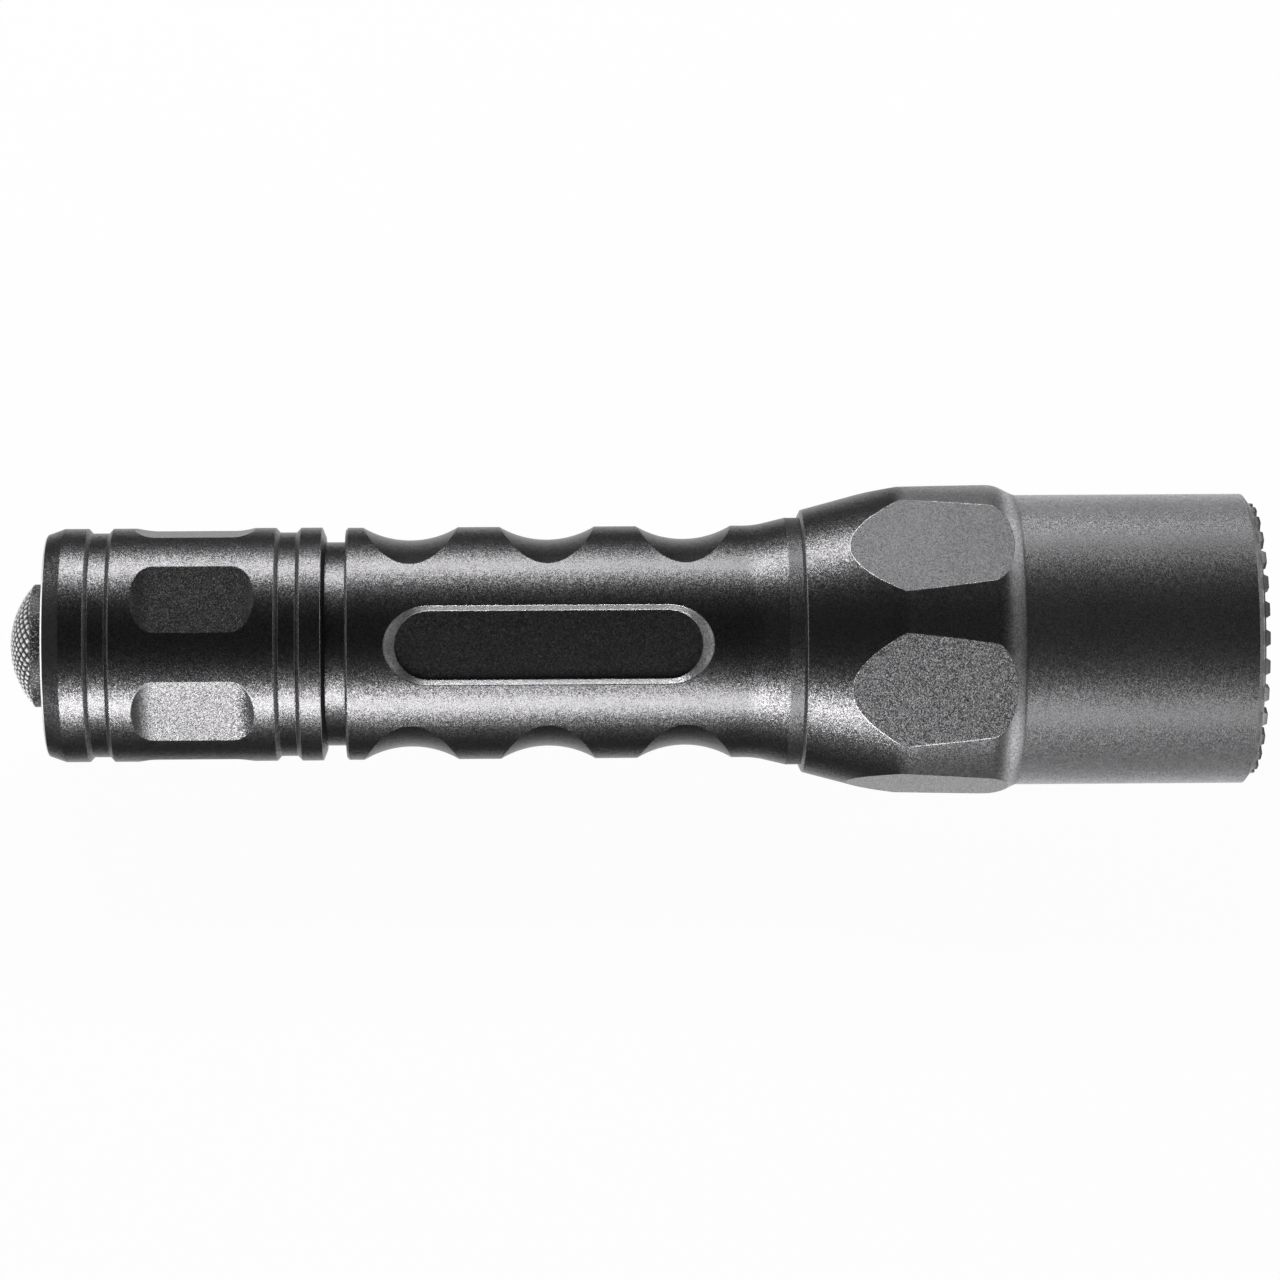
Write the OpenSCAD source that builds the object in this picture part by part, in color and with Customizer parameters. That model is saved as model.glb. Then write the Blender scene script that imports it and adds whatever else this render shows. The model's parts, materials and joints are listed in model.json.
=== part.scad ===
// Two-cell tactical flashlight with a six-sided head and a push-button tailcap.
// +X runs along the light towards its lens and +Z is up. The origin is on the
// light's axis at the middle of its length, and one flat of the head faces down.
// Stations named *_at or *_x below are measured from the tip of the rubber boot.
// An angle named *_roll is turned about the axis: 90 is up, 0 is towards -Y.

/* [Tailcap] */
// Length of the metal tailcap
cap_len = 29.5; // [28.5:0.5:34]
// Wall of the tailcap round its skirt, measured to the lands
cap_side_wall = 1.51; // [1.3:0.01:2.2]
// Radial height of the taper behind the tail face
cap_taper_h = 0.63; // [0.3:0.01:1]
// Length of the taper behind the tail face
cap_taper_len = 1.9; // [1:0.1:2.2]
// Radial width of the chamfer at the tailcap's front end
cap_lip_w = 0.97; // [0.5:0.01:1.1]
// Length of the chamfer at the tailcap's front end
cap_lip_len = 0.4; // [0.2:0.05:0.8]
// Distance from the tail face to the middle of the rear groove
rear_groove_at = 5.72; // [5.2:0.05:6.2]
// Distance from the tailcap's front end back to the middle of the front groove
front_groove_at = 3.96; // [3.6:0.05:4.4]
// Width of the floor of each groove
groove_w = 1.75; // [1.2:0.05:2]
// Depth of each groove
groove_depth = 0.5; // [0.2:0.05:0.6]
// Length along the light of each groove's sloping wall
groove_slope_len = 0.45; // [0.2:0.05:0.6]
// Number of finger pockets round the tailcap
pocket_count = 6; // [3:1:8]
// Depth of a finger pocket below the lands
pocket_depth = 0.6; // [0.3:0.05:0.8]
// Length of a finger pocket's flat floor
pocket_floor_len = 8; // [5:0.5:9]
// Radius of the cutter at a finger pocket's two ends
pocket_end_r = 5.3; // [3:0.1:6]
// Distance from the tail face to the middle of the finger pockets
pocket_mid_at = 15.72; // [15:0.1:17]
// Thickness of the tailcap's rear wall
cap_wall = 2.2; // [1.6:0.1:2.6]
// Radial step between the tailcap's threaded bore and the bore that holds the switch
switch_bore_step = 0.7; // [0.5:0.05:0.9]
// Length of the smooth skirt that the tail seal runs in
skirt_len = 4.6; // [4.4:0.1:5.4]

/* [Body] */
// Wall of the grip round the cells
grip_wall = 3.53; // [3.3:0.01:3.8]
// Length of the bare neck between the tailcap and the grip
neck_w = 2.1; // [1.5:0.1:4]
// Height of the neck, and of the land that carries the tail seal, above the thread's roots
neck_rise = 0.85; // [0.75:0.01:0.95]
// Clearance round the neck in the tailcap's skirt
neck_gap = 0.06; // [0.02:0.01:0.1]
// Space between the rear end of the body's spigot and the ring that holds the switch
spigot_gap = 2.9; // [2.3:0.1:4]
// Wall of the spigot under its thread's roots
spigot_wall = 1.15; // [1.05:0.05:1.2]
// Depth of the tailcap's thread
thread_depth = 0.45; // [0.3:0.05:0.5]
// Clearance between the thread's crests and roots
thread_gap = 0.1; // [0.05:0.05:0.15]
// Chamfer on the grip's rear edge
grip_chamfer = 0.25; // [0.1:0.05:0.5]
// Number of scallops along each side of the grip
scallop_count = 3; // [1:1:3]
// Distance between scallops
scallop_pitch = 14.46; // [12:0.02:15]
// Depth of a scallop
scallop_depth = 1.38; // [0.6:0.02:1.5]
// Radius of a scallop along the light
scallop_arc_r = 9.87; // [8:0.01:12]
// Radius of a scallop across the light
scallop_wrap_r = 17.5; // [15:0.5:22]
// Distance from the grip's rear face to the middle scallop
scallop_mid_at = 21.3; // [20:0.1:24]
// Length of the side recess's floor
recess_len = 32.3; // [20:0.1:34]
// Width of the side recess's floor
recess_w = 7.25; // [5:0.05:8]
// Depth of the side recess below the grip
recess_depth = 1.34; // [0.8:0.02:1.5]
// Slope of the side recess's wall away from upright
recess_wall_angle = 40; // [20:1:50]
// Height of the collar, where the grip meets the head, above the grip
collar_rise = 0.8; // [0.5:0.01:1]
// Length of the collar
collar_len = 1.5; // [1:0.1:3]
// Angle of the flare up to the collar
flare_angle = 13.6; // [10:0.2:25]
// Radius of the fillet between the grip and the flare
flare_fillet_r = 9.5; // [4:0.5:12]

/* [Head] */
// Length of the head without its lens ring
head_len = 47.8; // [46.5:0.1:54]
// Height of the head's rear edge above the collar
head_rear_rise = 0.82; // [0.5:0.01:1.2]
// Radial width of the chamfer on the head's rear edge
head_rear_chamfer = 0.5; // [0.2:0.05:0.7]
// Angle of the cone behind the flats
head_cone_angle = 15; // [13:0.1:17]
// Radius of the smooth front barrel
bezel_r = 15.42; // [15.1:0.02:15.8]
// Height of the shoulder above the front barrel
shoulder_h = 1.18; // [0.7:0.01:1.3]
// How much wider the head is behind the shoulder than at it
head_swell = 0.05; // [0:0.01:0.5]
// Distance from the head's rear face to the shoulder
shoulder_at = 20.5; // [20:0.1:23]
// Angle of the shoulder
shoulder_angle = 26; // [20:1:45]
// Radius of the fillet at the top of the shoulder, where the slope has room for it
shoulder_top_fillet_r = 4.5; // [0.5:0.1:6]
// Radius of the fillet at the foot of the shoulder
shoulder_foot_fillet_r = 0.8; // [0.5:0.1:2.5]
// Radial width of the chamfer on the front barrel's edge
bezel_chamfer = 0.82; // [0.3:0.02:0.85]
// Length along the light of the chamfer on the front barrel's edge
bezel_chamfer_len = 0.62; // [0.3:0.02:1]
// Number of flats round the head
facet_count = 6; // [4:1:8]
// Depth of a flat below the head's largest radius, at the flat's rear
facet_depth = 1.26; // [0.8:0.02:1.4]
// Slope of a flat, rising towards the front
facet_slope = 2.3; // [0:0.1:4]
// Depth of the socket that the body's front spigot fills
socket_len = 9.45; // [8.5:0.05:10]
// Wall of that spigot round the cells
front_spigot_wall = 2.35; // [2.25:0.01:2.55]
// Clearance between parts that are threaded or pressed together for good
set_gap = 0.05; // [0.02:0.01:0.08]
// Width of the shelf in the head that the contact ring and the driver sit inside
driver_shelf_w = 0.7; // [0.4:0.1:1]
// Free length in front of the driver's board in its bore
driver_space = 0.65; // [0.4:0.05:1]
// Wall of the front barrel round the reflector and the heat sink
barrel_wall = 1.82; // [1.6:0.02:2.1]

/* [Lens ring] */
// Wall of the head round the lens ring
ring_wall = 0.97; // [0.9:0.01:1.2]
// Length of the lens ring without its teeth
ring_len = 2.95; // [2.5:0.05:3.5]
// How far the lens ring stands out of the head, without its teeth
ring_proud = 0.15; // [0:0.05:0.5]
// Width of the lens ring, from its outside to its opening
ring_w = 1.9; // [1.6:0.05:2.4]
// Number of teeth round the lens ring
tooth_count = 30; // [12:1:36]
// Height of a tooth
tooth_h = 0.45; // [0.2:0.05:0.8]
// Width of a tooth at its root
tooth_root_w = 1.8; // [1.2:0.05:2]
// Width of a tooth at its tip
tooth_tip_w = 1.3; // [0.8:0.05:1.5]
// Radial thickness of a tooth
tooth_t = 1.3; // [0.8:0.05:1.5]
// Thickness of the window lens
lens_t = 2.2; // [1.5:0.1:2.6]
// Thickness of the lens seal
lens_seal_t = 1; // [0.6:0.1:1.2]
// Clearance round the lens and the reflector in their bore
optic_gap = 0.08; // [0.05:0.01:0.15]

/* [Light engine] */
// Thickness of the heat sink
sink_t = 6.4; // [5.6:0.1:7]
// Depth of the pocket in the back of the heat sink
sink_pocket_len = 2.4; // [2.2:0.1:3]
// Radius of the pocket in the back of the heat sink
sink_pocket_r = 9; // [7:0.1:9.4]
// Radius of the LED's round circuit board
star_r = 9.2; // [9:0.1:9.8]
// Thickness of the LED's circuit board
star_t = 1.2; // [1:0.1:1.6]
// Width of the LED's square base
led_w = 3.45; // [2.8:0.05:3.5]
// Thickness of the LED's base
led_t = 0.7; // [0.5:0.05:0.8]
// Radius of the LED's clear dome
led_dome_r = 1.4; // [1.2:0.05:1.4]
// Thickness of the insulator between the LED's board and the reflector
insulator_t = 0.6; // [0.5:0.05:0.7]
// Wall thickness of the reflector
reflector_wall = 1.1; // [0.8:0.1:1.2]
// Thickness of the reflector's rim
reflector_rim_t = 1.2; // [0.8:0.1:1.6]
// Radius of a board screw's head
star_screw_head_r = 1.6; // [1.2:0.1:1.6]
// Radius of a board screw's shank
star_screw_r = 1; // [0.8:0.1:1.1]
// Radius of an LED lead
lead_r = 0.45; // [0.3:0.05:0.5]
// Thickness of the driver's circuit board
driver_t = 1.6; // [1.2:0.1:1.8]
// Thickness of the contact ring between the body and the driver
contact_ring_t = 1.5; // [1.2:0.05:1.8]
// Wire radius of the head's contact spring
head_spring_wire_r = 0.25; // [0.2:0.01:0.28]

/* [Cells] */
// Length of one cell, its button included
cell_len = 34.5; // [34:0.1:36]
// Radius of one cell over its sleeve
cell_r = 8.5; // [8.2:0.05:8.9]
// Clearance round a cell in the body
cell_gap = 0.3; // [0.2:0.05:0.4]
// Thickness of a cell's sleeve
sleeve_t = 0.2; // [0.1:0.05:0.3]
// Height of a cell's button
cell_button_h = 1.1; // [0.8:0.1:1.4]
// Radius of a cell's button
cell_button_r = 3.2; // [2.8:0.1:3.6]
// Distance that the front cell's button sits inside the body's front end
cell_inset = 0.5; // [0.3:0.05:0.8]

/* [Tail switch] */
// How far the rubber boot stands out of the tail face
boot_proud = 4; // [3.4:0.1:5]
// Radius of the rubber boot
boot_r = 6.5; // [6:0.05:6.55]
// Height of the boot's dome above its rim
boot_dome_h = 2.4; // [1.6:0.1:2.8]
// Wall thickness of the boot
boot_wall = 1.1; // [0.8:0.1:1.2]
// Clearance round the boot in the tailcap's rear hole
boot_gap = 0.25; // [0.1:0.05:0.4]
// Thickness of the boot's clamped flange
boot_flange_t = 1.2; // [1:0.1:1.4]
// Thickness of the washer that clamps the boot's flange
washer_t = 1.9; // [1.7:0.1:2.2]
// Travel of the push button
button_travel = 1.6; // [1:0.1:1.8]
// Radius of the plunger's stem
plunger_r = 1.8; // [1.4:0.05:2]
// Clearance round the plunger's stem
plunger_gap = 0.08; // [0.04:0.01:0.1]
// Radius of the plunger's collar
plunger_collar_r = 3.4; // [2.8:0.1:3.8]
// Length of the switch housing
housing_len = 7.1; // [6.6:0.1:7.3]
// Thickness of the switch housing's walls
housing_wall = 1.2; // [1:0.1:1.4]
// Radius of the chamber in the switch housing
chamber_r = 5; // [4.4:0.1:5.6]
// Thickness of the switch's circuit board
switch_board_t = 1.6; // [1.2:0.1:1.8]
// Thickness of the ring that holds the switch in
retainer_t = 2; // [1.6:0.1:2.2]
// Length of the tail spring when the light is closed
tail_spring_len = 5.5; // [5:0.1:7]
// Mean radius of the tail spring
tail_spring_r = 4.6; // [4:0.1:5.5]
// Wire radius of the tail spring
tail_spring_wire_r = 0.4; // [0.3:0.05:0.45]
// Wire radius of the switch spring
switch_spring_wire_r = 0.22; // [0.18:0.01:0.26]

/* [Seals] */
// Radius of the section of each O-ring
seal_section_r = 0.58; // [0.5:0.01:0.6]
// Width of each O-ring groove
seal_groove_w = 1.9; // [1.6:0.1:2.2]
// Distance from the tailcap's front end back to the middle of the tail seal
tail_seal_at = 2.1; // [1.8:0.05:2.6]
// Distance from the head's rear face to the middle of the head seal
head_seal_at = 2.5; // [2:0.1:4]

/* [Clocking] */
// Direction of one flat of the head
facet_roll = -90; // [-120:1:-60]
// Direction of the side recess
recess_roll = 48.5; // [0:0.5:90]
// Direction of one finger pocket
pocket_roll = 13.4; // [-30:0.2:30]
// Direction of one tooth of the lens ring
tooth_roll = 49.7; // [0:0.1:60]

/* [Hidden] */

// Smoothness of round parts
round_fn = 96;
// Overlap of cutting tools past the faces that they cut
cut = 0.5;
// Room left past each end of the push button's travel
button_room = 0.7;

// Radii, from the cells outwards
cell_bore_r = cell_r + cell_gap;
grip_r = cell_bore_r + grip_wall;
spigot_thread_r = cell_bore_r + spigot_wall;
neck_r = spigot_thread_r + neck_rise;
skirt_r = neck_r + neck_gap;
cap_r = skirt_r + cap_side_wall;
cap_tail_r = cap_r - cap_taper_h;
cap_thread_r = spigot_thread_r + thread_depth + thread_gap;
switch_bore_r = cap_thread_r - switch_bore_step;
switch_fit_r = switch_bore_r - set_gap;
boot_hole_r = boot_r + boot_gap;
recess_floor_r = grip_r - recess_depth;
front_spigot_r = cell_bore_r + front_spigot_wall;
socket_r = front_spigot_r + set_gap;
driver_bore_r = socket_r - driver_shelf_w;
collar_r = grip_r + collar_rise;
head_rear_r = collar_r + head_rear_rise;

// Radii of the head's front, from the barrel inwards and outwards
shoulder_top_r = bezel_r + shoulder_h;
head_r = shoulder_top_r + head_swell;
facet_apothem = head_r - facet_depth;
optic_bore_r = bezel_r - barrel_wall;
optic_r = optic_bore_r - optic_gap;
ring_r = bezel_r - ring_wall - set_gap;
aperture_r = ring_r - ring_w;

// Stations along the light, from the tip of the boot: the tailcap and its switch
tail_face_x = boot_proud;
cap_front_x = tail_face_x + cap_len;
switch_bore_x = tail_face_x + cap_wall;
skirt_x = cap_front_x - skirt_len;
flange_front_x = switch_bore_x + boot_flange_t;
washer_front_x = flange_front_x + washer_t;
housing_front_x = washer_front_x + housing_len;
switch_board_front_x = housing_front_x + switch_board_t;
retainer_front_x = switch_board_front_x + retainer_t;
switch_bore_end_x = retainer_front_x + 1;
boot_crown_x = washer_front_x - button_travel - button_room;
chamber_x = washer_front_x + housing_wall;
plunger_end_x = housing_front_x - button_travel - button_room;
stop_rear_x = chamber_x + 0.1;
stop_front_x = stop_rear_x + 1;

// The cells, and the body round them
cells_rear_x = switch_board_front_x + tail_spring_len;
cells_front_x = cells_rear_x + 2 * cell_len;
body_front_x = cells_front_x + cell_inset;
head_rear_x = body_front_x + set_gap - socket_len;
grip_rear_x = cap_front_x + neck_w;
spigot_rear_x = retainer_front_x + spigot_gap;
seal_land_x = skirt_x + 0.4;
tail_seal_x = cap_front_x - tail_seal_at;
head_seal_x = head_rear_x + head_seal_at;
scallop_mid_x = grip_rear_x + scallop_mid_at;
collar_x = head_rear_x - collar_len;

// The head
head_front_x = head_rear_x + head_len;
ring_front_x = head_front_x + ring_proud;
front_tip_x = ring_front_x + tooth_h;
ledge_drop = tooth_h / 3;
mid_x = front_tip_x / 2;

// Light engine
driver_bore_x = head_rear_x + socket_len;
driver_r = driver_bore_r - 0.2;
driver_rear_x = driver_bore_x + contact_ring_t;
driver_front_x = driver_rear_x + driver_t;
sink_x = driver_front_x + driver_space;
star_screw_circle_r = star_r - star_screw_head_r - 0.1;
sink_front_x = sink_x + sink_t;
star_front_x = sink_front_x + star_t;
led_front_x = star_front_x + led_t;
insulator_front_x = star_front_x + insulator_t;
ring_rear_x = ring_front_x - ring_len;
lens_front_x = ring_rear_x - lens_seal_t;
lens_rear_x = lens_front_x - lens_t;

// Reflector: a parabola with its focus on the LED and its rim at the lens
mirror_rim_r = aperture_r + 0.2;
mirror_len = lens_rear_x - led_front_x;
focal_len = (sqrt(mirror_len * mirror_len + mirror_rim_r * mirror_rim_r) - mirror_len) / 2;
mirror_vertex_x = led_front_x - focal_len;

// Head outline
cone_rear_x = head_rear_x + head_rear_chamfer / 2;
cone_front_x = cone_rear_x + (head_r - head_rear_r) / tan(head_cone_angle);
shoulder_x = head_rear_x + shoulder_at;
shoulder_foot_x = shoulder_x + (shoulder_top_r - bezel_r) / tan(shoulder_angle);
shoulder_room = (shoulder_top_r - bezel_r) / sin(shoulder_angle) / tan(shoulder_angle / 2);
shoulder_top_fillet = min(shoulder_top_fillet_r, 0.6 * shoulder_room);
shoulder_foot_fillet = min(shoulder_foot_fillet_r, 0.35 * shoulder_room);

// Springs
spring_steps = 20;
spring_sides = 8;

// Places a shape drawn along local +Z on the light's axis, with its foot at station x
module on_axis(x = 0) {
    translate([x - mid_x, 0, 0])
        rotate([0, 90, 0])
            children();
}

// Turns a shape drawn on the +Z side of the light to face the direction roll
module facing(roll) {
    rotate([90 - roll, 0, 0])
        children();
}

// A body turned about the axis from an outline of [radius, station] points
module turned(outline) {
    on_axis()
        rotate_extrude($fn = round_fn)
            polygon(outline);
}

// A plain ring, or a disc where inner is 0
module ring(rear_x, front_x, outer, inner = 0) {
    turned([[inner, rear_x], [outer, rear_x], [outer, front_x], [inner, front_x]]);
}

// An O-ring of the common section, seated on the floor radius of its groove
module o_ring(x, floor_r) {
    on_axis(x)
        rotate_extrude($fn = round_fn)
            translate([floor_r + seal_section_r, 0])
                circle(r = seal_section_r, $fn = 32);
}

// Points of the arc that rounds corner b between the lines from a and to c
function fillet(a, b, c, r, steps = 6) =
    let(
        u = (a - b) / norm(a - b),
        v = (c - b) / norm(c - b),
        half = acos(u * v) / 2,
        bisector = (u + v) / norm(u + v),
        centre = b + bisector * r / sin(half),
        from = b + u * r / tan(half) - centre,
        to = b + v * r / tan(half) - centre,
        start = atan2(from[1], from[0]),
        sweep = atan2(from[0] * to[1] - from[1] * to[0], from * to)
    )
    [for (i = [0:steps]) centre + r * [cos(start + sweep * i / steps), sin(start + sweep * i / steps)]];

// Height of a closed-end spring's wire after t turns, for a centre line that is span long
function spring_rise(t, turns, span, wire_r) =
    let(end_pitch = 2.3 * wire_r)
    t < 1 ? t * end_pitch :
    t > turns - 1 ? span - (turns - t) * end_pitch :
    end_pitch + (t - 1) / (turns - 2) * (span - 2 * end_pitch);

// A closed-end coil spring between two stations
module coil_spring(rear_x, front_x, r, wire_r, turns) {
    span = front_x - rear_x - 2 * wire_r;
    count = turns * spring_steps;
    points = [
        for (i = [0:count])
            let(t = i / spring_steps, rise = wire_r + spring_rise(t, turns, span, wire_r))
            for (k = [0:spring_sides - 1])
                let(a = 360 * k / spring_sides, d = r + wire_r * cos(a))
                [d * cos(360 * t), d * sin(360 * t), rise + wire_r * sin(a)]
    ];
    sides = [
        for (i = [0:count - 1])
            for (k = [0:spring_sides - 1])
                let(next = (k + 1) % spring_sides, a = i * spring_sides, b = a + spring_sides)
                [a + k, a + next, b + next, b + k]
    ];
    start = [for (k = [0:spring_sides - 1]) spring_sides - 1 - k];
    end = [for (k = [0:spring_sides - 1]) count * spring_sides + k];
    on_axis(rear_x)
        polyhedron(points = points, faces = concat(sides, [start], [end]));
}

// ---- Head ----

// Outline of the head's outside from its rear edge to its front lip
function head_outline() = concat(
    [[head_rear_r - head_rear_chamfer, head_rear_x]],
    [[head_rear_r, cone_rear_x]],
    [[head_r, cone_front_x]],
    fillet([head_r, cone_front_x], [shoulder_top_r, shoulder_x],
        [bezel_r, shoulder_foot_x], shoulder_top_fillet),
    fillet([shoulder_top_r, shoulder_x], [bezel_r, shoulder_foot_x],
        [bezel_r, head_front_x], shoulder_foot_fillet),
    [[bezel_r, head_front_x - bezel_chamfer_len]],
    [[bezel_r - bezel_chamfer, head_front_x]]
);

// Outline of the head's bores from the front lip back to the socket
function head_bore() = [
    [ring_r + set_gap, head_front_x],
    [ring_r + set_gap, ring_rear_x],
    [optic_bore_r, ring_rear_x],
    [optic_bore_r, sink_x],
    [driver_bore_r, sink_x],
    [driver_bore_r, driver_bore_x],
    [socket_r, driver_bore_x],
    [socket_r, head_rear_x]
];

// Block that cuts one flat of the head
module facet_cutter() {
    behind = cone_front_x - head_rear_x + 2 * cut;
    translate([cone_front_x - mid_x, 0, facet_apothem])
        rotate([0, -facet_slope, 0])
            translate([-behind, -head_r, 0])
                cube([behind + shoulder_foot_x - cone_front_x + 2 * cut, 2 * head_r, head_r]);
}

module head_shell() {
    color("#2b2a2c")
        difference() {
            turned(concat(head_outline(), head_bore()));
            for (i = [0:facet_count - 1])
                facing(facet_roll + i * 360 / facet_count)
                    facet_cutter();
        }
}

// Outline of the lens ring
function lens_ring_outline() = [
    [aperture_r, ring_rear_x],
    [ring_r, ring_rear_x],
    [ring_r, front_tip_x],
    [ring_r - tooth_t, front_tip_x],
    [ring_r - tooth_t, ring_front_x - ledge_drop],
    [aperture_r + 0.4, ring_front_x - ledge_drop],
    [aperture_r, ring_front_x - ledge_drop - 0.4]
];

// Wedge that cuts the gap between two teeth
module tooth_gap() {
    pitch = 360 / tooth_count;
    root = 2 * ring_r * sin(pitch / 2) - tooth_root_w;
    tip = root + (tooth_root_w - tooth_tip_w) * (tooth_h + cut) / tooth_h;
    translate([ring_front_x - mid_x, 0, ring_r - tooth_t - cut])
        linear_extrude(tooth_t + 2 * cut)
            polygon([
                [0, -root / 2], [tooth_h + cut, -tip / 2],
                [tooth_h + cut, tip / 2], [0, root / 2]]);
}

module lens_ring() {
    pitch = 360 / tooth_count;
    color("#151416")
        difference() {
            turned(lens_ring_outline());
            for (i = [0:tooth_count - 1])
                facing(tooth_roll + (i + 0.5) * pitch)
                    tooth_gap();
        }
}

module window_lens() {
    color("#cfe3ea")
        ring(lens_rear_x, lens_front_x, optic_r);
}

module lens_seal() {
    color("#1c1b1d")
        ring(lens_front_x, ring_rear_x, optic_r, aperture_r);
}

// Radius of the mirror at station x
function mirror_r(x) = sqrt(4 * focal_len * (x - mirror_vertex_x));

module reflector() {
    steps = 16;
    span = lens_rear_x - insulator_front_x;
    stations = [for (i = [0:steps]) insulator_front_x + span * pow(i / steps, 1.6)];
    mirror = [for (x = stations) [mirror_r(x), x]];
    rim_x = lens_rear_x - reflector_rim_t;
    back = [
        for (i = [steps:-1:0])
            if (stations[i] < rim_x) [mirror_r(stations[i]) + reflector_wall, stations[i]]
    ];
    rim = [
        [optic_r, lens_rear_x],
        [optic_r, rim_x],
        [mirror_r(rim_x) + reflector_wall, rim_x]
    ];
    color("#c9ccd1")
        turned(concat(mirror, rim, back));
}

module reflector_insulator() {
    color("#d9d6cc")
        ring(star_front_x, insulator_front_x,
            mirror_r(insulator_front_x) + reflector_wall, led_w * 0.74);
}

module led_base() {
    color("#e6c94a")
        translate([star_front_x - mid_x, -led_w / 2, -led_w / 2])
            cube([led_t, led_w, led_w]);
}

module led_dome() {
    color("#dfe7ea")
        on_axis(led_front_x)
            intersection() {
                sphere(r = led_dome_r, $fn = 48);
                cylinder(r = led_dome_r + cut, h = led_dome_r + cut, $fn = 48);
            }
}

// Two places opposite each other at radius r, turned away from the flats' clocking
module at_pair(r, turn) {
    for (a = [turn, turn + 180])
        rotate([a, 0, 0])
            translate([0, 0, r])
                children();
}

module star_board() {
    color("#e9e9e6")
        difference() {
            ring(sink_front_x, star_front_x, star_r);
            at_pair(star_screw_circle_r, 0)
                on_axis(sink_front_x - cut)
                    cylinder(r = star_screw_r + set_gap, h = star_t + 2 * cut, $fn = 32);
            at_pair(star_screw_circle_r, 90)
                on_axis(sink_front_x - cut)
                    cylinder(r = lead_r + set_gap, h = star_t + 2 * cut, $fn = 32);
        }
}

module star_screws() {
    head_h = 1;
    shank_len = 4;
    color("#b9bbc0")
        at_pair(star_screw_circle_r, 0)
            difference() {
                union() {
                    on_axis(star_front_x)
                        cylinder(r = star_screw_head_r, h = head_h, $fn = 32);
                    on_axis(star_front_x - shank_len)
                        cylinder(r = star_screw_r, h = shank_len, $fn = 32);
                }
                on_axis(star_front_x + head_h / 2)
                    cylinder(r = star_screw_head_r / 2, h = head_h, $fn = 6);
            }
}

module led_leads() {
    color("#c0392b")
        at_pair(star_screw_circle_r, 90)
            on_axis(driver_front_x)
                cylinder(r = lead_r, h = star_front_x + 0.3 - driver_front_x, $fn = 32);
}

module heat_sink() {
    color("#a9abb0")
        difference() {
            ring(sink_x, sink_front_x, optic_r);
            ring(sink_x - cut, sink_x + sink_pocket_len, sink_pocket_r);
            at_pair(star_screw_circle_r, 0)
                on_axis(sink_x)
                    cylinder(r = star_screw_r + set_gap, h = sink_t + cut, $fn = 32);
            at_pair(star_screw_circle_r, 90)
                on_axis(sink_x)
                    cylinder(r = lead_r + 0.3, h = sink_t + cut, $fn = 32);
        }
}

module driver_board() {
    part_h = sink_x + sink_pocket_len - driver_front_x - 0.3;
    color("#1f5b3a")
        union() {
            ring(driver_rear_x, driver_front_x, driver_r);
            translate([driver_front_x - mid_x - cut, -driver_r / 4, -driver_r / 2])
                cube([part_h * 0.5 + cut, driver_r / 2, driver_r * 0.4]);
            translate([0, 0, driver_r * 0.3])
                on_axis(driver_front_x - cut)
                    cylinder(r = 2.4, h = part_h + cut, $fn = 32);
        }
}

module contact_ring() {
    color("#c9a44c")
        ring(driver_bore_x, driver_rear_x, driver_r, cell_bore_r);
}

module head_spring() {
    color("#c9a44c")
        coil_spring(cells_front_x, driver_rear_x, 2.2, head_spring_wire_r, 3);
}

module head_seal() {
    color("#141315")
        o_ring(head_seal_x, front_spigot_r - 2 * seal_section_r);
}

// ---- Body ----

// Outline of the body's outside from the rear of its spigot to its front end
function body_outline() =
    let(
        slope = tan(flare_angle),
        flare_x = collar_x - (collar_r - grip_r) / slope,
        half = seal_groove_w / 2,
        tail_floor = neck_r - 2 * seal_section_r,
        head_floor = front_spigot_r - 2 * seal_section_r
    )
    concat(
        [
            [spigot_thread_r - 0.3, spigot_rear_x],
            [spigot_thread_r, spigot_rear_x + 0.3],
            [spigot_thread_r, seal_land_x],
            [neck_r, seal_land_x + 0.6],
            [neck_r, tail_seal_x - half],
            [tail_floor, tail_seal_x - half],
            [tail_floor, tail_seal_x + half],
            [neck_r, tail_seal_x + half],
            [neck_r, grip_rear_x],
            [grip_r - grip_chamfer, grip_rear_x],
            [grip_r, grip_rear_x + grip_chamfer]
        ],
        fillet([grip_r, grip_rear_x + grip_chamfer], [grip_r, flare_x],
            [collar_r, collar_x], flare_fillet_r),
        [
            [collar_r, collar_x],
            [collar_r, head_rear_x],
            [front_spigot_r, head_rear_x],
            [front_spigot_r, head_seal_x - half],
            [head_floor, head_seal_x - half],
            [head_floor, head_seal_x + half],
            [front_spigot_r, head_seal_x + half],
            [front_spigot_r, body_front_x - 0.3],
            [front_spigot_r - 0.3, body_front_x],
            [cell_bore_r, body_front_x],
            [cell_bore_r, spigot_rear_x]
        ]
    );

// Ring-shaped cutter of one scallop, on the +Z side of the grip
module scallop_cutter(x) {
    translate([x - mid_x, 0, grip_r - scallop_depth - scallop_wrap_r])
        rotate([0, 90, 0])
            rotate_extrude($fn = round_fn)
                translate([scallop_wrap_r + scallop_arc_r, 0])
                    circle(r = scallop_arc_r, $fn = round_fn);
}

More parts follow.
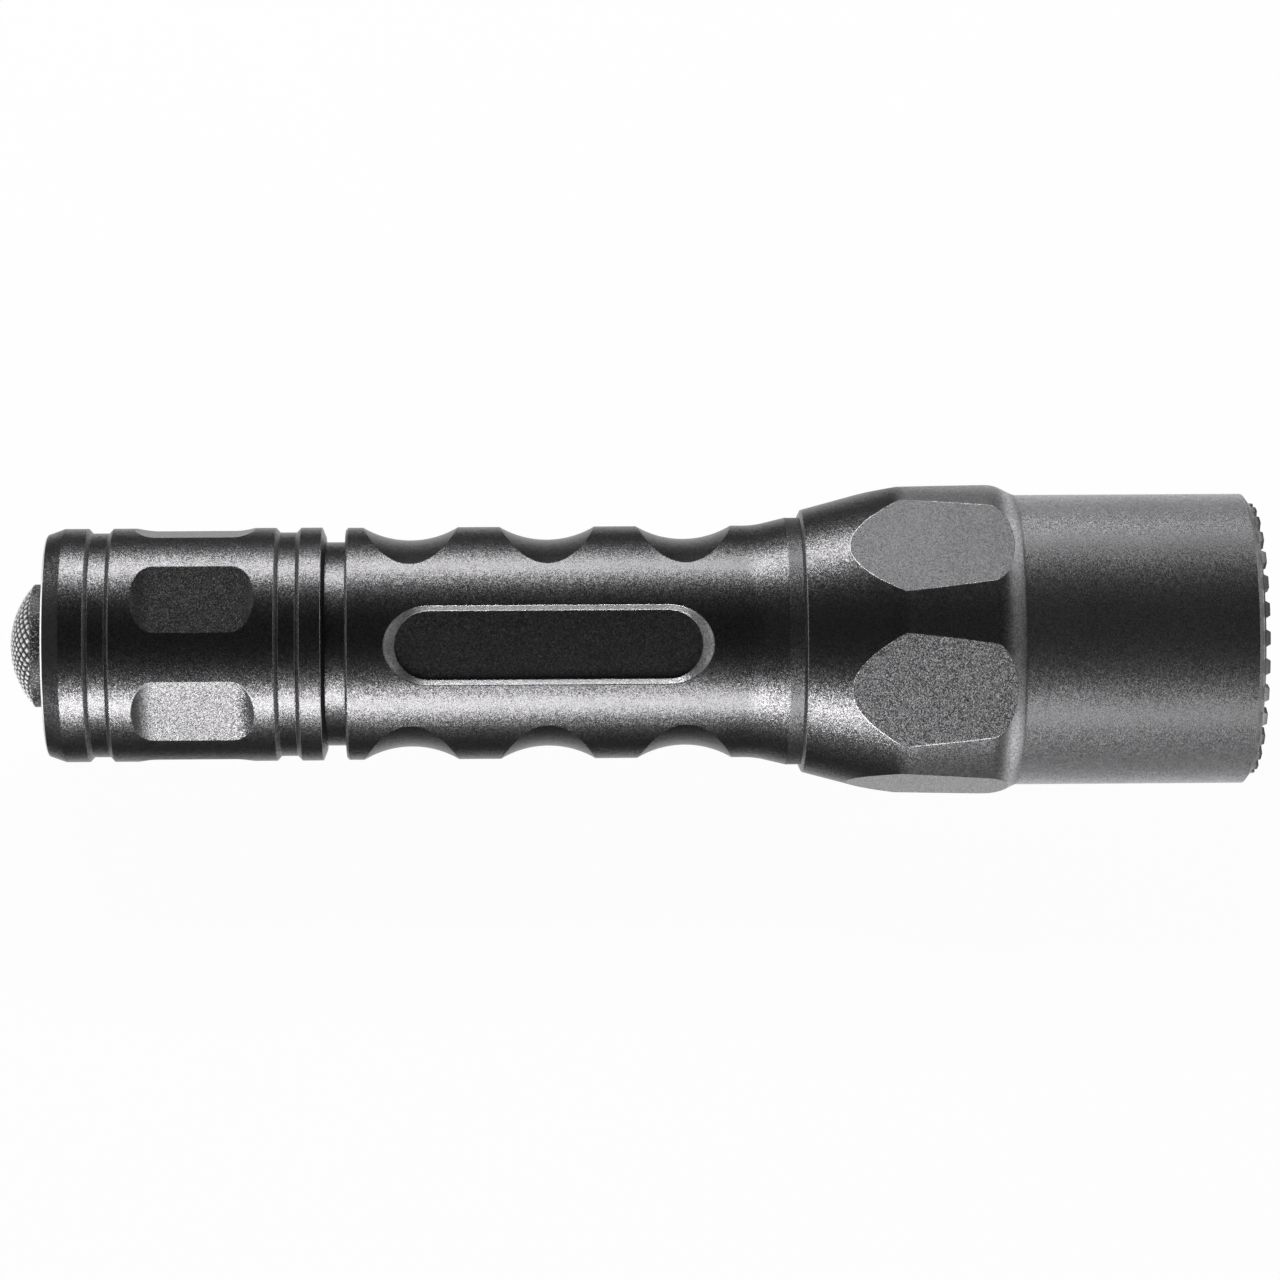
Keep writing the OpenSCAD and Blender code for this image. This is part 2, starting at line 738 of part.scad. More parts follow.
// Cutter of one side recess, on the +Z side of the grip: a slot with sloping walls
module recess_cutter() {
    h = recess_depth + cut;
    half_w = recess_w / 2;
    spread = h * tan(recess_wall_angle);
    straight = recess_len - recess_w;
    translate([scallop_mid_x - mid_x, 0, recess_floor_r]) {
        for (side = [-1, 1])
            translate([side * straight / 2, 0, 0])
                cylinder(r1 = half_w, r2 = half_w + spread, h = h, $fn = 64);
        translate([-straight / 2, 0, 0])
            rotate([90, 0, 90])
                linear_extrude(straight)
                    polygon([[-half_w, 0], [half_w, 0], [half_w + spread, h], [-half_w - spread, h]]);
    }
}

module body_tube() {
    color("#2b2a2c")
        difference() {
            turned(body_outline());
            for (side = [-90, 90])
                facing(recess_roll + side)
                    for (i = [0:scallop_count - 1])
                        scallop_cutter(scallop_mid_x + (i - (scallop_count - 1) / 2) * scallop_pitch);
            for (side = [0, 180])
                facing(recess_roll + side)
                    recess_cutter();
        }
}

module tail_seal() {
    color("#141315")
        o_ring(tail_seal_x, neck_r - 2 * seal_section_r);
}

// ---- Cells ----

module cell_can(rear_x) {
    color("#b7b9bd")
        ring(rear_x, rear_x + cell_len - cell_button_h, cell_r - sleeve_t);
}

module cell_sleeve(rear_x) {
    color("#5a6470")
        ring(rear_x, rear_x + cell_len - cell_button_h, cell_r, cell_r - sleeve_t);
}

module cell_button(rear_x) {
    color("#c8cacd")
        ring(rear_x + cell_len - cell_button_h, rear_x + cell_len, cell_button_r);
}

module front_cell() { cell_can(cells_rear_x + cell_len); }
module front_cell_sleeve() { cell_sleeve(cells_rear_x + cell_len); }
module front_cell_button() { cell_button(cells_rear_x + cell_len); }
module rear_cell() { cell_can(cells_rear_x); }
module rear_cell_sleeve() { cell_sleeve(cells_rear_x); }
module rear_cell_button() { cell_button(cells_rear_x); }

module tail_spring() {
    color("#c9a44c")
        coil_spring(switch_board_front_x, cells_rear_x, tail_spring_r, tail_spring_wire_r, 4);
}

// ---- Tailcap ----

// Points of one turned groove whose floor's middle is at station x
function groove(x) =
    let(half = groove_w / 2, wall = groove_slope_len, floor_r = cap_r - groove_depth)
    [[cap_r, x - half - wall], [floor_r, x - half], [floor_r, x + half], [cap_r, x + half + wall]];

// Outline of the tailcap from the boot's hole round the outside and back along its bores
function cap_outline() = concat(
    [[boot_hole_r, tail_face_x], [cap_tail_r - 0.25, tail_face_x], [cap_tail_r, tail_face_x + 0.15]],
    [[cap_r, tail_face_x + cap_taper_len]],
    groove(tail_face_x + rear_groove_at),
    groove(cap_front_x - front_groove_at),
    [[cap_r, cap_front_x - cap_lip_len], [cap_r - cap_lip_w, cap_front_x]],
    [[skirt_r, cap_front_x], [skirt_r, skirt_x], [cap_thread_r, skirt_x]],
    [[cap_thread_r, switch_bore_end_x], [switch_bore_r, switch_bore_end_x]],
    [[switch_bore_r, switch_bore_x], [boot_hole_r, switch_bore_x]]
);

// Cutter of one finger pocket, on the +Z side of the tailcap: a flat floor with round run-outs
module pocket_cutter() {
    floor_r = cap_r - pocket_depth;
    translate([tail_face_x + pocket_mid_at - mid_x, cap_r, floor_r])
        rotate([90, 0, 0])
            linear_extrude(2 * cap_r)
                union() {
                    for (side = [-1, 1])
                        translate([side * pocket_floor_len / 2, pocket_end_r])
                            circle(r = pocket_end_r, $fn = round_fn);
                    translate([-pocket_floor_len / 2, 0])
                        square([pocket_floor_len, 2 * pocket_end_r]);
                }
}

module tailcap_shell() {
    color("#2b2a2c")
        difference() {
            turned(cap_outline());
            for (i = [0:pocket_count - 1])
                facing(pocket_roll + i * 360 / pocket_count)
                    pocket_cutter();
        }
}

module boot_flange() {
    color("#1d1c1f")
        ring(switch_bore_x, flange_front_x, switch_fit_r, boot_hole_r);
}

module boot_washer() {
    color("#8d9095")
        ring(flange_front_x, washer_front_x, switch_fit_r, boot_hole_r + 0.15);
}

module switch_housing() {
    color("#222226")
        turned([
            [plunger_r + plunger_gap, washer_front_x],
            [switch_fit_r, washer_front_x],
            [switch_fit_r, housing_front_x],
            [chamber_r, housing_front_x],
            [chamber_r, chamber_x],
            [plunger_r + plunger_gap, chamber_x]
        ]);
}

module switch_spring() {
    color("#c9a44c")
        coil_spring(stop_front_x, housing_front_x, plunger_r + 0.8, switch_spring_wire_r, 5);
}

module switch_board() {
    color("#1f5b3a")
        ring(housing_front_x, switch_board_front_x, switch_fit_r);
}

module switch_retainer() {
    color("#9a9ca1")
        difference() {
            ring(switch_board_front_x, retainer_front_x, switch_fit_r, tail_spring_r + 1.8);
            at_pair((switch_fit_r + tail_spring_r + 1.8) / 2, 90)
                on_axis(retainer_front_x - 1)
                    cylinder(r = 0.7, h = 1 + cut, $fn = 32);
        }
}

// ---- Push button ----

// Points of a dome of height h on a radius r, with its tip at station x
function dome(r, h, x, steps = 12) =
    let(ball_r = (r * r + h * h) / (2 * h), open = asin(min(1, r / ball_r)))
    [for (i = [0:steps]) let(a = open * i / steps) [ball_r * sin(a), x + ball_r * (1 - cos(a))]];

module switch_boot() {
    inner_r = boot_r - boot_wall;
    inner = dome(inner_r, boot_dome_h - 0.5, boot_wall);
    color("#1d1c1f")
        turned(concat(
            dome(boot_r, boot_dome_h, 0),
            [[boot_r, boot_crown_x], [inner_r, boot_crown_x]],
            [for (i = [len(inner) - 1:-1:0]) inner[i]]
        ));
}

module switch_plunger() {
    head_r = boot_r - boot_wall - 0.1;
    head_x = boot_wall + boot_dome_h - 0.4;
    color("#d8d6cf")
        turned(concat(
            dome(head_r, boot_dome_h - 0.55, boot_wall + 0.05),
            [
                [head_r, head_x + 1.2],
                [plunger_r, head_x + 1.2],
                [plunger_r, stop_rear_x],
                [plunger_collar_r, stop_rear_x],
                [plunger_collar_r, stop_front_x],
                [plunger_r, stop_front_x],
                [plunger_r, plunger_end_x],
                [0, plunger_end_x]
            ]
        ));
}

head_shell();
lens_ring();
window_lens();
lens_seal();
reflector();
reflector_insulator();
led_base();
led_dome();
star_board();
star_screws();
led_leads();
heat_sink();
driver_board();
contact_ring();
head_spring();
head_seal();
body_tube();
tail_seal();
front_cell();
front_cell_sleeve();
front_cell_button();
rear_cell();
rear_cell_sleeve();
rear_cell_button();
tail_spring();
tailcap_shell();
boot_flange();
boot_washer();
switch_housing();
switch_spring();
switch_board();
switch_retainer();
switch_boot();
switch_plunger();
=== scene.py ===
"""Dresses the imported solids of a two-cell tactical flashlight: finishes, fine parts, light and a camera."""

import json
import math
from types import SimpleNamespace

import bpy
import numpy as np
from bpy.props import FloatProperty, FloatVectorProperty, IntProperty, PointerProperty
from mathutils import Matrix, Vector


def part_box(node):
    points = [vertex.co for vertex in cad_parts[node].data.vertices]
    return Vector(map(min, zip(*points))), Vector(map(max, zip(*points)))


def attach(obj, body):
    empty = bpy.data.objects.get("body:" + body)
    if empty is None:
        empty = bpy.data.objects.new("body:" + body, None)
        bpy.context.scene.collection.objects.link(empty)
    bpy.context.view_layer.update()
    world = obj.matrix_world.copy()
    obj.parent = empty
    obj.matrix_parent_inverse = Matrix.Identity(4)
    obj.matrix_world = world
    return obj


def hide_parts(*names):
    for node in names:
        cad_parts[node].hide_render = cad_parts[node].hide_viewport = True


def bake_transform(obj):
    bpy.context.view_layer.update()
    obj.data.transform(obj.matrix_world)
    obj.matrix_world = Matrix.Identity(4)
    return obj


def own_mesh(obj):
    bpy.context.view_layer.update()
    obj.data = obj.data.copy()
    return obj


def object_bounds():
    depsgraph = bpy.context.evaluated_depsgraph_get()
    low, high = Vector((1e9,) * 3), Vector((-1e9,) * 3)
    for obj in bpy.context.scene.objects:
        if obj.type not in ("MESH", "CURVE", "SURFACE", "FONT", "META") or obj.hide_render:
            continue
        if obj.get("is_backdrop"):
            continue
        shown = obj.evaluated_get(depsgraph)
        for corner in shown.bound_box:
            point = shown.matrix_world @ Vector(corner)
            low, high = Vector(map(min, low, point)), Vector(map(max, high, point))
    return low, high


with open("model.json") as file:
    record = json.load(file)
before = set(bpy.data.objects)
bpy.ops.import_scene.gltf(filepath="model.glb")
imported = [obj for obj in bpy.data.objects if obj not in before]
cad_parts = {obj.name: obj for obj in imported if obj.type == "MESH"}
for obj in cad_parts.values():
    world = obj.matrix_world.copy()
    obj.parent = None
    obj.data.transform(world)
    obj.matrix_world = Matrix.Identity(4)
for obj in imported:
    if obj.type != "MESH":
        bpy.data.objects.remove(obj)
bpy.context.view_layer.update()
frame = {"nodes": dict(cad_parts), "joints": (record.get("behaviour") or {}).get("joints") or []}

bl_info = {
    "name": "Tactical Flashlight",
    "version": (1, 0, 0),
    "blender": (4, 5, 0),
    "location": "View3D > Sidebar > Flashlight",
    "description": "Finishes, fine parts and studio for a two-cell tactical flashlight",
    "category": "Object",
}

MM = 0.001
TURN = 2 * math.pi

# Places on the solids in millimetres. Rear and front ends are stations along the light, counted from the
# boot's tip, which lies at TIP_X. An R is a radius, and a lean or a roll is an angle.
TIP_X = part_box("switch_boot")[0].x / MM
TAIL_EDGE, TAIL_EDGE_R = 4.15, 11.47
THREAD_REAR, THREAD_FRONT = 23.6, 28.7
GRIP_R = 12.33
RECESS_REAR, RECESS_FRONT = 38.0, 76.2
RECESS_FLOOR_R, RECESS_ROLL = 10.95, math.radians(48.5)
COLLAR_REAR, COLLAR_FRONT = 82.0, 83.6
FLATS_REAR = 85.0
CONE_FRONT, CONE_LEAN = 93.9, math.radians(15)
SHOULDER_REAR, SHOULDER_FRONT = 103.6, 106.7
FRONT_EDGE_REAR, FRONT_EDGE_FRONT = 130.8, 131.3
TEETH_REAR, TEETH_FRONT = 131.6, 131.9
LAND_R, PAD_R = (4.1, 5.4), (5.0, 6.35)


# ---- Sizes and colours ----


def length(name, description, default_mm):
    """A length property whose default is given in millimetres."""
    return FloatProperty(
        name=name,
        description=description,
        default=default_mm * MM,
        min=0.0,
        precision=5,
        unit="LENGTH",
    )


def colour(name, description, default):
    """A colour property."""
    return FloatVectorProperty(
        name=name,
        description=description,
        default=default,
        min=0.0,
        max=1.0,
        size=3,
        subtype="COLOR",
    )


def share(name, description, default):
    """A number from 0 to 1."""
    return FloatProperty(
        name=name, description=description, default=default, min=0.0, max=1.0
    )


def angle(name, description, degrees):
    """An angle property whose default is given in degrees."""
    return FloatProperty(
        name=name,
        description=description,
        default=math.radians(degrees),
        unit="ROTATION",
    )


class FlashlightThreads(bpy.types.PropertyGroup):
    """Sizes of the thread between the body and the tailcap."""

    pitch: length("Pitch", "Distance between neighbouring turns", 1.25)
    body_root: length("Body root", "Radius of the body's spigot between turns", 9.95)
    body_crest: length("Body crest", "Radius over the body's thread", 10.4)
    cap_root: length("Cap root", "Radius of the tailcap's bore between turns", 10.5)
    cap_crest: length("Cap crest", "Radius inside the tailcap's thread", 10.05)
    crest_w: length("Crest width", "Width of a turn at its crest", 0.32)
    flank_w: length("Flank width", "Width along the light of each sloping flank", 0.2)


class FlashlightBoot(bpy.types.PropertyGroup):
    """Sizes of the rubber boot over the push button."""

    radius: length("Radius", "Outer radius of the boot", 6.5)
    dome: length("Dome height", "Height of the dome", 2.6)
    wall: length("Wall", "Thickness of the rubber", 1.1)
    hatch_pitch: length("Hatch pitch", "Distance between the dome's grooves", 0.7)
    hatch_w: length("Hatch width", "Width of a groove at the surface", 0.42)
    hatch_depth: length("Hatch depth", "Depth of the dome's grooves", 0.3)


class FlashlightSprings(bpy.types.PropertyGroup):
    """Sizes of the coil springs."""

    tail_r: length("Tail spring radius", "Mean radius of the tail spring", 4.6)
    tail_wire: length("Tail spring wire", "Wire radius of the tail spring", 0.4)
    tail_turns: IntProperty(
        name="Tail spring turns", description="Turns of the tail spring", default=4
    )
    head_r: length("Head spring radius", "Mean radius of the head spring", 2.2)
    head_wire: length("Head spring wire", "Wire radius of the head spring", 0.25)
    head_turns: IntProperty(
        name="Head spring turns", description="Turns of the head spring", default=3
    )
    switch_r: length("Switch spring radius", "Mean radius of the switch spring", 2.6)
    switch_wire: length("Switch spring wire", "Wire radius of the switch spring", 0.22)
    switch_turns: IntProperty(
        name="Switch spring turns", description="Turns of the switch spring", default=5
    )


class FlashlightOptics(bpy.types.PropertyGroup):
    """Sizes of the reflector and the light source."""

    rim_r: length("Mirror rim", "Radius of the mirror at its rim", 12.7)
    flange_r: length("Flange", "Radius of the reflector's flange", 13.52)
    flange_t: length("Flange thickness", "Thickness of the reflector's flange", 1.2)
    wall: length("Wall", "Wall of the reflector", 1.1)
    die_w: length("Phosphor width", "Width of the lit phosphor square", 1.5)
    die_t: length("Phosphor thickness", "Thickness of the phosphor square", 0.14)


class FlashlightFinish(bpy.types.PropertyGroup):
    """Colours and gloss of the finishes."""

    anodised: colour("Anodised", "Colour of the black anodised metal", (0.102, 0.1, 0.103))
    # The worn edge colour is edge wear, and it also paints highlights along edges.
    worn_and_highlight: colour("Worn edge", "Colour of the anodising on its edges", (0.7, 0.69, 0.69))
    rubber: colour("Rubber", "Colour of the boot's rubber", (0.016, 0.015, 0.017))
    # The rubber tops colour is a painted highlight on the boot's tops, and also the colour of the flecks
    # between them and on the rim.
    rubber_dust_and_highlight: colour("Rubber tops", "Colour of the boot's rubbed tops", (0.9, 0.9, 0.9))
    gold: colour("Spring plating", "Colour of the plated springs", (0.83, 0.6, 0.24))
    sleeve: colour("Cell sleeve", "Colour of the cells' sleeves", (0.05, 0.09, 0.16))
    grain: length("Grain", "Size of the blasted metal's grain", 0.1)
    relief: share("Relief", "How far the grain leans the surface", 0.17)
    edge: length("Edge", "Radius of the rounding of the metal's edges", 0.15)
    gloss: share("Roughness", "Roughness of the anodised metal", 0.335)
    barrel_gloss: share("Barrel roughness", "Roughness of the front barrel", 0.43)


class FlashlightStage(bpy.types.PropertyGroup):
    """Camera and light."""

    distance: length("Distance", "Distance from the camera to the light", 565.0)
    aim_along: length("Aim along", "Place that the camera aims at, towards the head", 0.75)
    aim_up: length("Aim up", "Place that the camera aims at, in its upright direction", 0.213)
    lens: FloatProperty(
        name="Lens", description="Focal length for a 36 mm sensor", default=149.34
    )
    elevation: angle("Elevation", "Height of the camera above the horizon", 49.7)
    yaw: angle("Yaw", "Turn of the camera towards the tail", 1.7)
    tilt: angle("Tilt", "Turn of the camera about its own line of sight", 0.36)
    back_strip: FloatProperty(
        name="Back strip", description="Brightness of the strip light behind", default=12.8
    )
    front_strip: FloatProperty(
        name="Front strip", description="Brightness of the strip light in front", default=17.5
    )
    back_at: angle("Back strip at", "Direction of the back strip, over the top", 131.0)
    front_at: angle("Front strip at", "Direction of the front strip", -12.0)
    strip_w: angle("Strip width", "Angle that each strip spans, seen from the light", 19.5)
    strip_away: length("Strip distance", "Distance from the light to each strip", 700.0)
    strip_rear: length("Strip rear end", "Length of each strip towards the tail", 330.0)
    strip_front: length("Strip front end", "Length of each strip towards the head", 250.0)
    strip_even: length("Strip even part", "Distance behind the light where a strip starts to dim", 80.0)
    floor_r: length("Floor radius", "Radius of the floor", 3000.0)
    floor: colour("Floor", "Colour of the floor", (0.88, 0.88, 0.88))
    ends: FloatProperty(
        name="Ends", description="Brightness of the room beyond the light's two ends", default=2.2
    )


GROUPS = {
    "flashlight_threads": FlashlightThreads,
    "flashlight_boot": FlashlightBoot,
    "flashlight_springs": FlashlightSprings,
    "flashlight_optics": FlashlightOptics,
    "flashlight_finish": FlashlightFinish,
    "flashlight_stage": FlashlightStage,
}


def sizes(context, name):
    """A property group's values, with its lengths in millimetres."""
    group = getattr(context.scene, name)
    found = {}
    for key in group.__annotations__:
        value = getattr(group, key)
        is_length = group.bl_rna.properties[key].unit == "LENGTH"
        found[key] = value / MM if is_length else value
    return SimpleNamespace(**found)


# ---- Shapes ----


def to_row(station, y, z):
    """Points in metres in the row frame from stations and sideways places in millimetres."""
    return np.stack(np.broadcast_arrays(station + TIP_X, y, z), axis=-1) * MM


def skin(name, rings, closed=False, sharp=math.radians(40)):
    """A mesh from an array of rings: each point joins its neighbours along its ring, which closes on itself,
    and the points with its number on the next ring. The last ring joins the first where closed,
    and otherwise each end ring is closed by a fan round its mean point."""
    count, around = rings.shape[:2]
    row = np.arange(count if closed else count - 1)[:, None]
    col = np.arange(around)[None, :]
    after, beside = (row + 1) % count, (col + 1) % around
    quads = np.stack(
        [
            row * around + col,
            row * around + beside,
            after * around + beside,
            after * around + col,
        ],
        axis=-1,
    ).reshape(-1, 4)
    points = rings.reshape(-1, 3)
    fans = np.empty((0, 3), int)
    if not closed:
        one, two = np.arange(around), (np.arange(around) + 1) % around
        last = (count - 1) * around
        hub = len(points)
        fans = np.concatenate(
            [
                np.stack([two, one, np.full(around, hub)], axis=-1),
                np.stack([last + one, last + two, np.full(around, hub + 1)], axis=-1),
            ]
        )
        points = np.concatenate([points, [rings[0].mean(0)], [rings[-1].mean(0)]])
    corners = np.concatenate([quads.ravel(), fans.ravel()])
    sizes_of = np.concatenate([np.full(len(quads), 4), np.full(len(fans), 3)])
    starts = np.concatenate([[0], np.cumsum(sizes_of)[:-1]])
    triangles = np.concatenate([quads[:, :3], quads[:, [0, 2, 3]], fans])
    a, b, c = (points[triangles[:, i]] for i in range(3))
    if np.einsum("ij,ij->i", a, np.cross(b, c)).sum() < 0:
        corners = np.concatenate([quads[:, ::-1].ravel(), fans[:, ::-1].ravel()])
    mesh = bpy.data.meshes.new(name)
    mesh.vertices.add(len(points))
    mesh.vertices.foreach_set("co", points.astype(np.float32).ravel())
    mesh.loops.add(len(corners))
    mesh.loops.foreach_set("vertex_index", corners.astype(np.int32))
    mesh.polygons.add(len(sizes_of))
    mesh.polygons.foreach_set("loop_start", starts.astype(np.int32))
    mesh.polygons.foreach_set("use_smooth", np.ones(len(sizes_of), bool))
    mesh.update(calc_edges=True)
    mesh.validate()
    mesh.set_sharp_from_angle(angle=sharp)
    piece = bpy.data.objects.new(name, mesh)
    bpy.context.scene.collection.objects.link(piece)
    return piece


def turned(name, radius, station, around=192, closed=False):
    """A surface of revolution about the light's axis: each outline point is carried round a full turn."""
    a = np.linspace(0, TURN, around, endpoint=False)[None, :]
    r = np.asarray(radius, float)[:, None]
    s = np.asarray(station, float)[:, None]
    return skin(name, to_row(s, r * np.cos(a), r * np.sin(a)), closed)


def arc(centre, radius, start, end, steps):
    """Points [radius, station] of a circular arc between two angles in degrees."""
    a = np.radians(np.linspace(start, end, steps))
    return np.stack([centre[0] + radius * np.cos(a), centre[1] + radius * np.sin(a)], -1)


def helix_ridge(name, root, crest, first, last, pitch, crest_w, flank_w):
    """A thread's ridge: a trapezium carried along the right-hand helix station = first + pitch x turns.
    Its height fades out over a sixth of a turn at both ends, where the ridge sinks into its wall."""
    turns = (last - first) / pitch
    t = np.linspace(0, turns, int(turns * 72) + 1)[:, None]
    fade = np.clip(np.minimum(t, turns - t) * 6, 0, 1)
    fade = fade * fade * (3 - 2 * fade)
    into = 0.06 if crest > root else -0.06
    r = np.array([root - into, crest, crest, root - into])[None, :]
    r = r + (root - into - r) * (1 - fade)
    w = crest_w / 2 + np.array([flank_w, 0, 0, flank_w])
    s = np.array([-1, -1, 1, 1])[None, :] * w
    a = TURN * t
    return skin(name, to_row(first + pitch * t + s, r * np.cos(a), r * np.sin(a)))


def coil(name, radius, wire, turns, rear, front):
    """A closed-end compression spring: a circle carried along a helix whose first and last turns
    rise by little more than the wire, and whose turns between share the rest evenly."""
    t = np.linspace(0, turns, turns * 64 + 1)
    span, end_rise = front - rear - 2 * wire, 2.3 * wire
    rise = np.interp(
        t, [0, 1, turns - 1, turns], [0, end_rise, span - end_rise, span]
    )
    k = np.linspace(0, TURN, 14, endpoint=False)[None, :]
    a = TURN * t[:, None]
    r = radius + wire * np.cos(k)
    s = rear + wire + rise[:, None] + wire * np.sin(k)
    return skin(name, to_row(s, r * np.sin(a), r * np.cos(a)))


def slab(name, half_w, rear, front, corner, edge):
    """A square tile with round corners: a rounded-square outline, |y|^p + |z|^p = w^p with its power p from
    the corner's sharpness, is carried along the axis and drawn in by a quarter circle at the front edge."""
    a = np.linspace(0, TURN, 96, endpoint=False)[None, :]
    power = 2 / corner
    unit = (np.abs(np.cos(a)) ** power + np.abs(np.sin(a)) ** power) ** (-1 / power)
    q = np.radians(np.linspace(0, 90, 5))
    inset = np.concatenate([[0], edge * (1 - np.cos(q))])[:, None]
    s = np.concatenate([[rear], front - edge + edge * np.sin(q)])[:, None]
    r = half_w * unit - inset
    return skin(name, to_row(s, r * np.cos(a), r * np.sin(a)))


# ---- Shader maths ----


class Wire:
    """An output socket. Sums on it add Math nodes to its material, so shader maths reads as plain sums."""

    def __init__(self, shader, socket):
        self.shader = shader
        self.socket = socket

    def _with(self, operation, other, swap=False):
        pair = (other, self) if swap else (self, other)
        return self.shader.node(
            "ShaderNodeMath", {"operation": operation}, {0: pair[0], 1: pair[1]}
        )

    def __add__(self, other):
        return self._with("ADD", other)

    def __radd__(self, other):
        return self._with("ADD", other, True)

    def __sub__(self, other):
        return self._with("SUBTRACT", other)

    def __rsub__(self, other):
        return self._with("SUBTRACT", other, True)

    def __mul__(self, other):
        return self._with("MULTIPLY", other)

    def __rmul__(self, other):
        return self._with("MULTIPLY", other, True)

    def __truediv__(self, other):
        return self._with("DIVIDE", other)

    def __pow__(self, other):
        return self._with("POWER", other)


class Shader:
    """A material's or a world's nodes."""

    def __init__(self, tree):
        self.tree = tree
        tree.nodes.clear()

    def node(self, kind, settings=None, inputs=None, out=0):
        """Adds a node: its settings are set first, then its inputs take values or links. Gives its output."""
        made = self.tree.nodes.new(kind)
        for key, value in (settings or {}).items():
            setattr(made, key, value)
        for key, value in (inputs or {}).items():
            socket = made.inputs[key]
            if isinstance(value, Wire):
                self.tree.links.new(value.socket, socket)
            elif socket.type == "RGBA":
                socket.default_value = (*value, 1) if len(value) == 3 else value
            else:
                socket.default_value = value
        return Wire(self, made.outputs[out]) if made.outputs else None

    def place(self):
        """Object coordinates, which are the row frame's, in metres."""
        return self.node("ShaderNodeTexCoord", out="Object")

    def axes(self, p):
        """The three parts of a vector."""
        made = self.node("ShaderNodeSeparateXYZ", inputs={0: p}).socket.node
        return [Wire(self, made.outputs[i]) for i in range(3)]

    def noise(self, p, size, detail=2.0, rough=0.5):
        """Noise from 0 to 1 whose grains are about size metres across."""
        return self.node(
            "ShaderNodeTexNoise",
            inputs={"Vector": p, "Scale": 1 / size, "Detail": detail, "Roughness": rough},
            out="Fac",
        )

    def fit(self, value, low, high, to_low=0.0, to_high=1.0):
        """Value from low..high carried smoothly onto to_low..to_high, and held at its ends."""
        return self.node(
            "ShaderNodeMapRange",
            {"interpolation_type": "SMOOTHSTEP"},
            {
                "Value": value,
                "From Min": low,
                "From Max": high,
                "To Min": to_low,
                "To Max": to_high,
            },
        )

    def span(self, value, low, high, fade_in, fade_out=None):
        """1 where value is from low to high, and 0 beyond. It changes over the fades just inside each end."""
        rise = self.fit(value, low, low + fade_in)
        return rise * self.fit(value, high - (fade_out or fade_in), high, 1.0, 0.0)

    def blend(self, factor, a, b):
        """Colour a where factor is 0, and b where it is 1."""
        return self.node(
            "ShaderNodeMix",
            {"data_type": "RGBA"},
            {"Factor": factor, 6: a, 7: b},
            out=2,
        )

    def soft_edges(self, radius):
        """The surface's normal rounded over its edges, how much of an edge each place is, from 0 to 1,
        and the same for shallow edges too."""
        soft = self.node("ShaderNodeBevel", {"samples": 6}, {"Radius": radius}, out="Normal")
        true = self.node("ShaderNodeNewGeometry", out="Normal")
        turn = self.node(
            "ShaderNodeVectorMath", {"operation": "DOT_PRODUCT"}, {0: soft, 1: true}, out="Value"
        )
        return soft, self.fit(1 - turn, 0.005, 0.2), self.fit(1 - turn, 0.0008, 0.005)

    def radius(self, p):
        """Distance from the light's axis."""
        _, y, z = self.axes(p)
        return (y * y + z * z) ** 0.5

    def aslant(self):
        """0 where a surface is seen square on, and 1 where it is seen along itself."""
        return self.node("ShaderNodeLayerWeight", inputs={"Blend": 0.5}, out="Facing")

    def mix_normals(self, factor, a, b):
        """Normal a where factor is 0, and b where it is 1."""
        return self.node("ShaderNodeMix", {"data_type": "VECTOR"}, {"Factor": factor, 4: a, 5: b}, out=1)

    def tint(self, colour_in, factor):
        """A colour times a number."""
        grey = self.node("ShaderNodeCombineXYZ", inputs={0: factor, 1: factor, 2: factor})
        settings = {"data_type": "RGBA", "blend_type": "MULTIPLY"}
        return self.node("ShaderNodeMix", settings, {"Factor": 1.0, 6: colour_in, 7: grey}, out=2)

    def cells(self, p, size):
        """A random colour for each cell of a random pattern of that size in metres."""
        return self.node("ShaderNodeTexVoronoi", inputs={"Vector": p, "Scale": 1 / size}, out="Color")

    def grit(self, normal, cells, tilt):
        """A normal leaned by at most about tilt, as the cells' colours say."""
        middle = (0.5, 0.5, 0.5)
        lean = self.node("ShaderNodeVectorMath", {"operation": "SUBTRACT"}, {0: cells, 1: middle})
        lean = self.node("ShaderNodeVectorMath", {"operation": "SCALE"}, {0: lean, "Scale": tilt})
        both = self.node("ShaderNodeVectorMath", {"operation": "ADD"}, {0: normal, 1: lean})
        return self.node("ShaderNodeVectorMath", {"operation": "NORMALIZE"}, {0: both})

    def bump(self, height, depth, normal=None):
        """A normal pushed by height, where 1 is depth metres."""
        inputs = {"Height": height, "Distance": depth, "Strength": 1.0}
        if normal is not None:
            inputs["Normal"] = normal
        return self.node("ShaderNodeBump", inputs=inputs)

    def surface(self, **inputs):
        """Ends the material in one Principled shader."""
        named = {key.replace("_", " ").title().replace("Ior", "IOR"): value for key, value in inputs.items()}
        bsdf = self.node("ShaderNodeBsdfPrincipled", inputs=named)
        self.node("ShaderNodeOutputMaterial", inputs={"Surface": bsdf})


def material(name):
    """A new material and its shader."""
    made = bpy.data.materials.new("finish_" + name)
    made.use_nodes = True
    return made, Shader(made.node_tree)


def dress(node, finish):
    """Gives a CAD node's object a finish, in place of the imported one."""
    mesh = frame["nodes"][node].data
    mesh.materials.clear()
    mesh.materials.append(finish)


def finish_piece(piece, finish, slot, body, *replaced):
    """Gives a new piece its finish, hides the CAD nodes it stands for and ties it to its body. Its slot is
    not used.
    """
    piece.data.materials.append(finish)
    if replaced:
        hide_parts(*replaced)
    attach(piece, body)


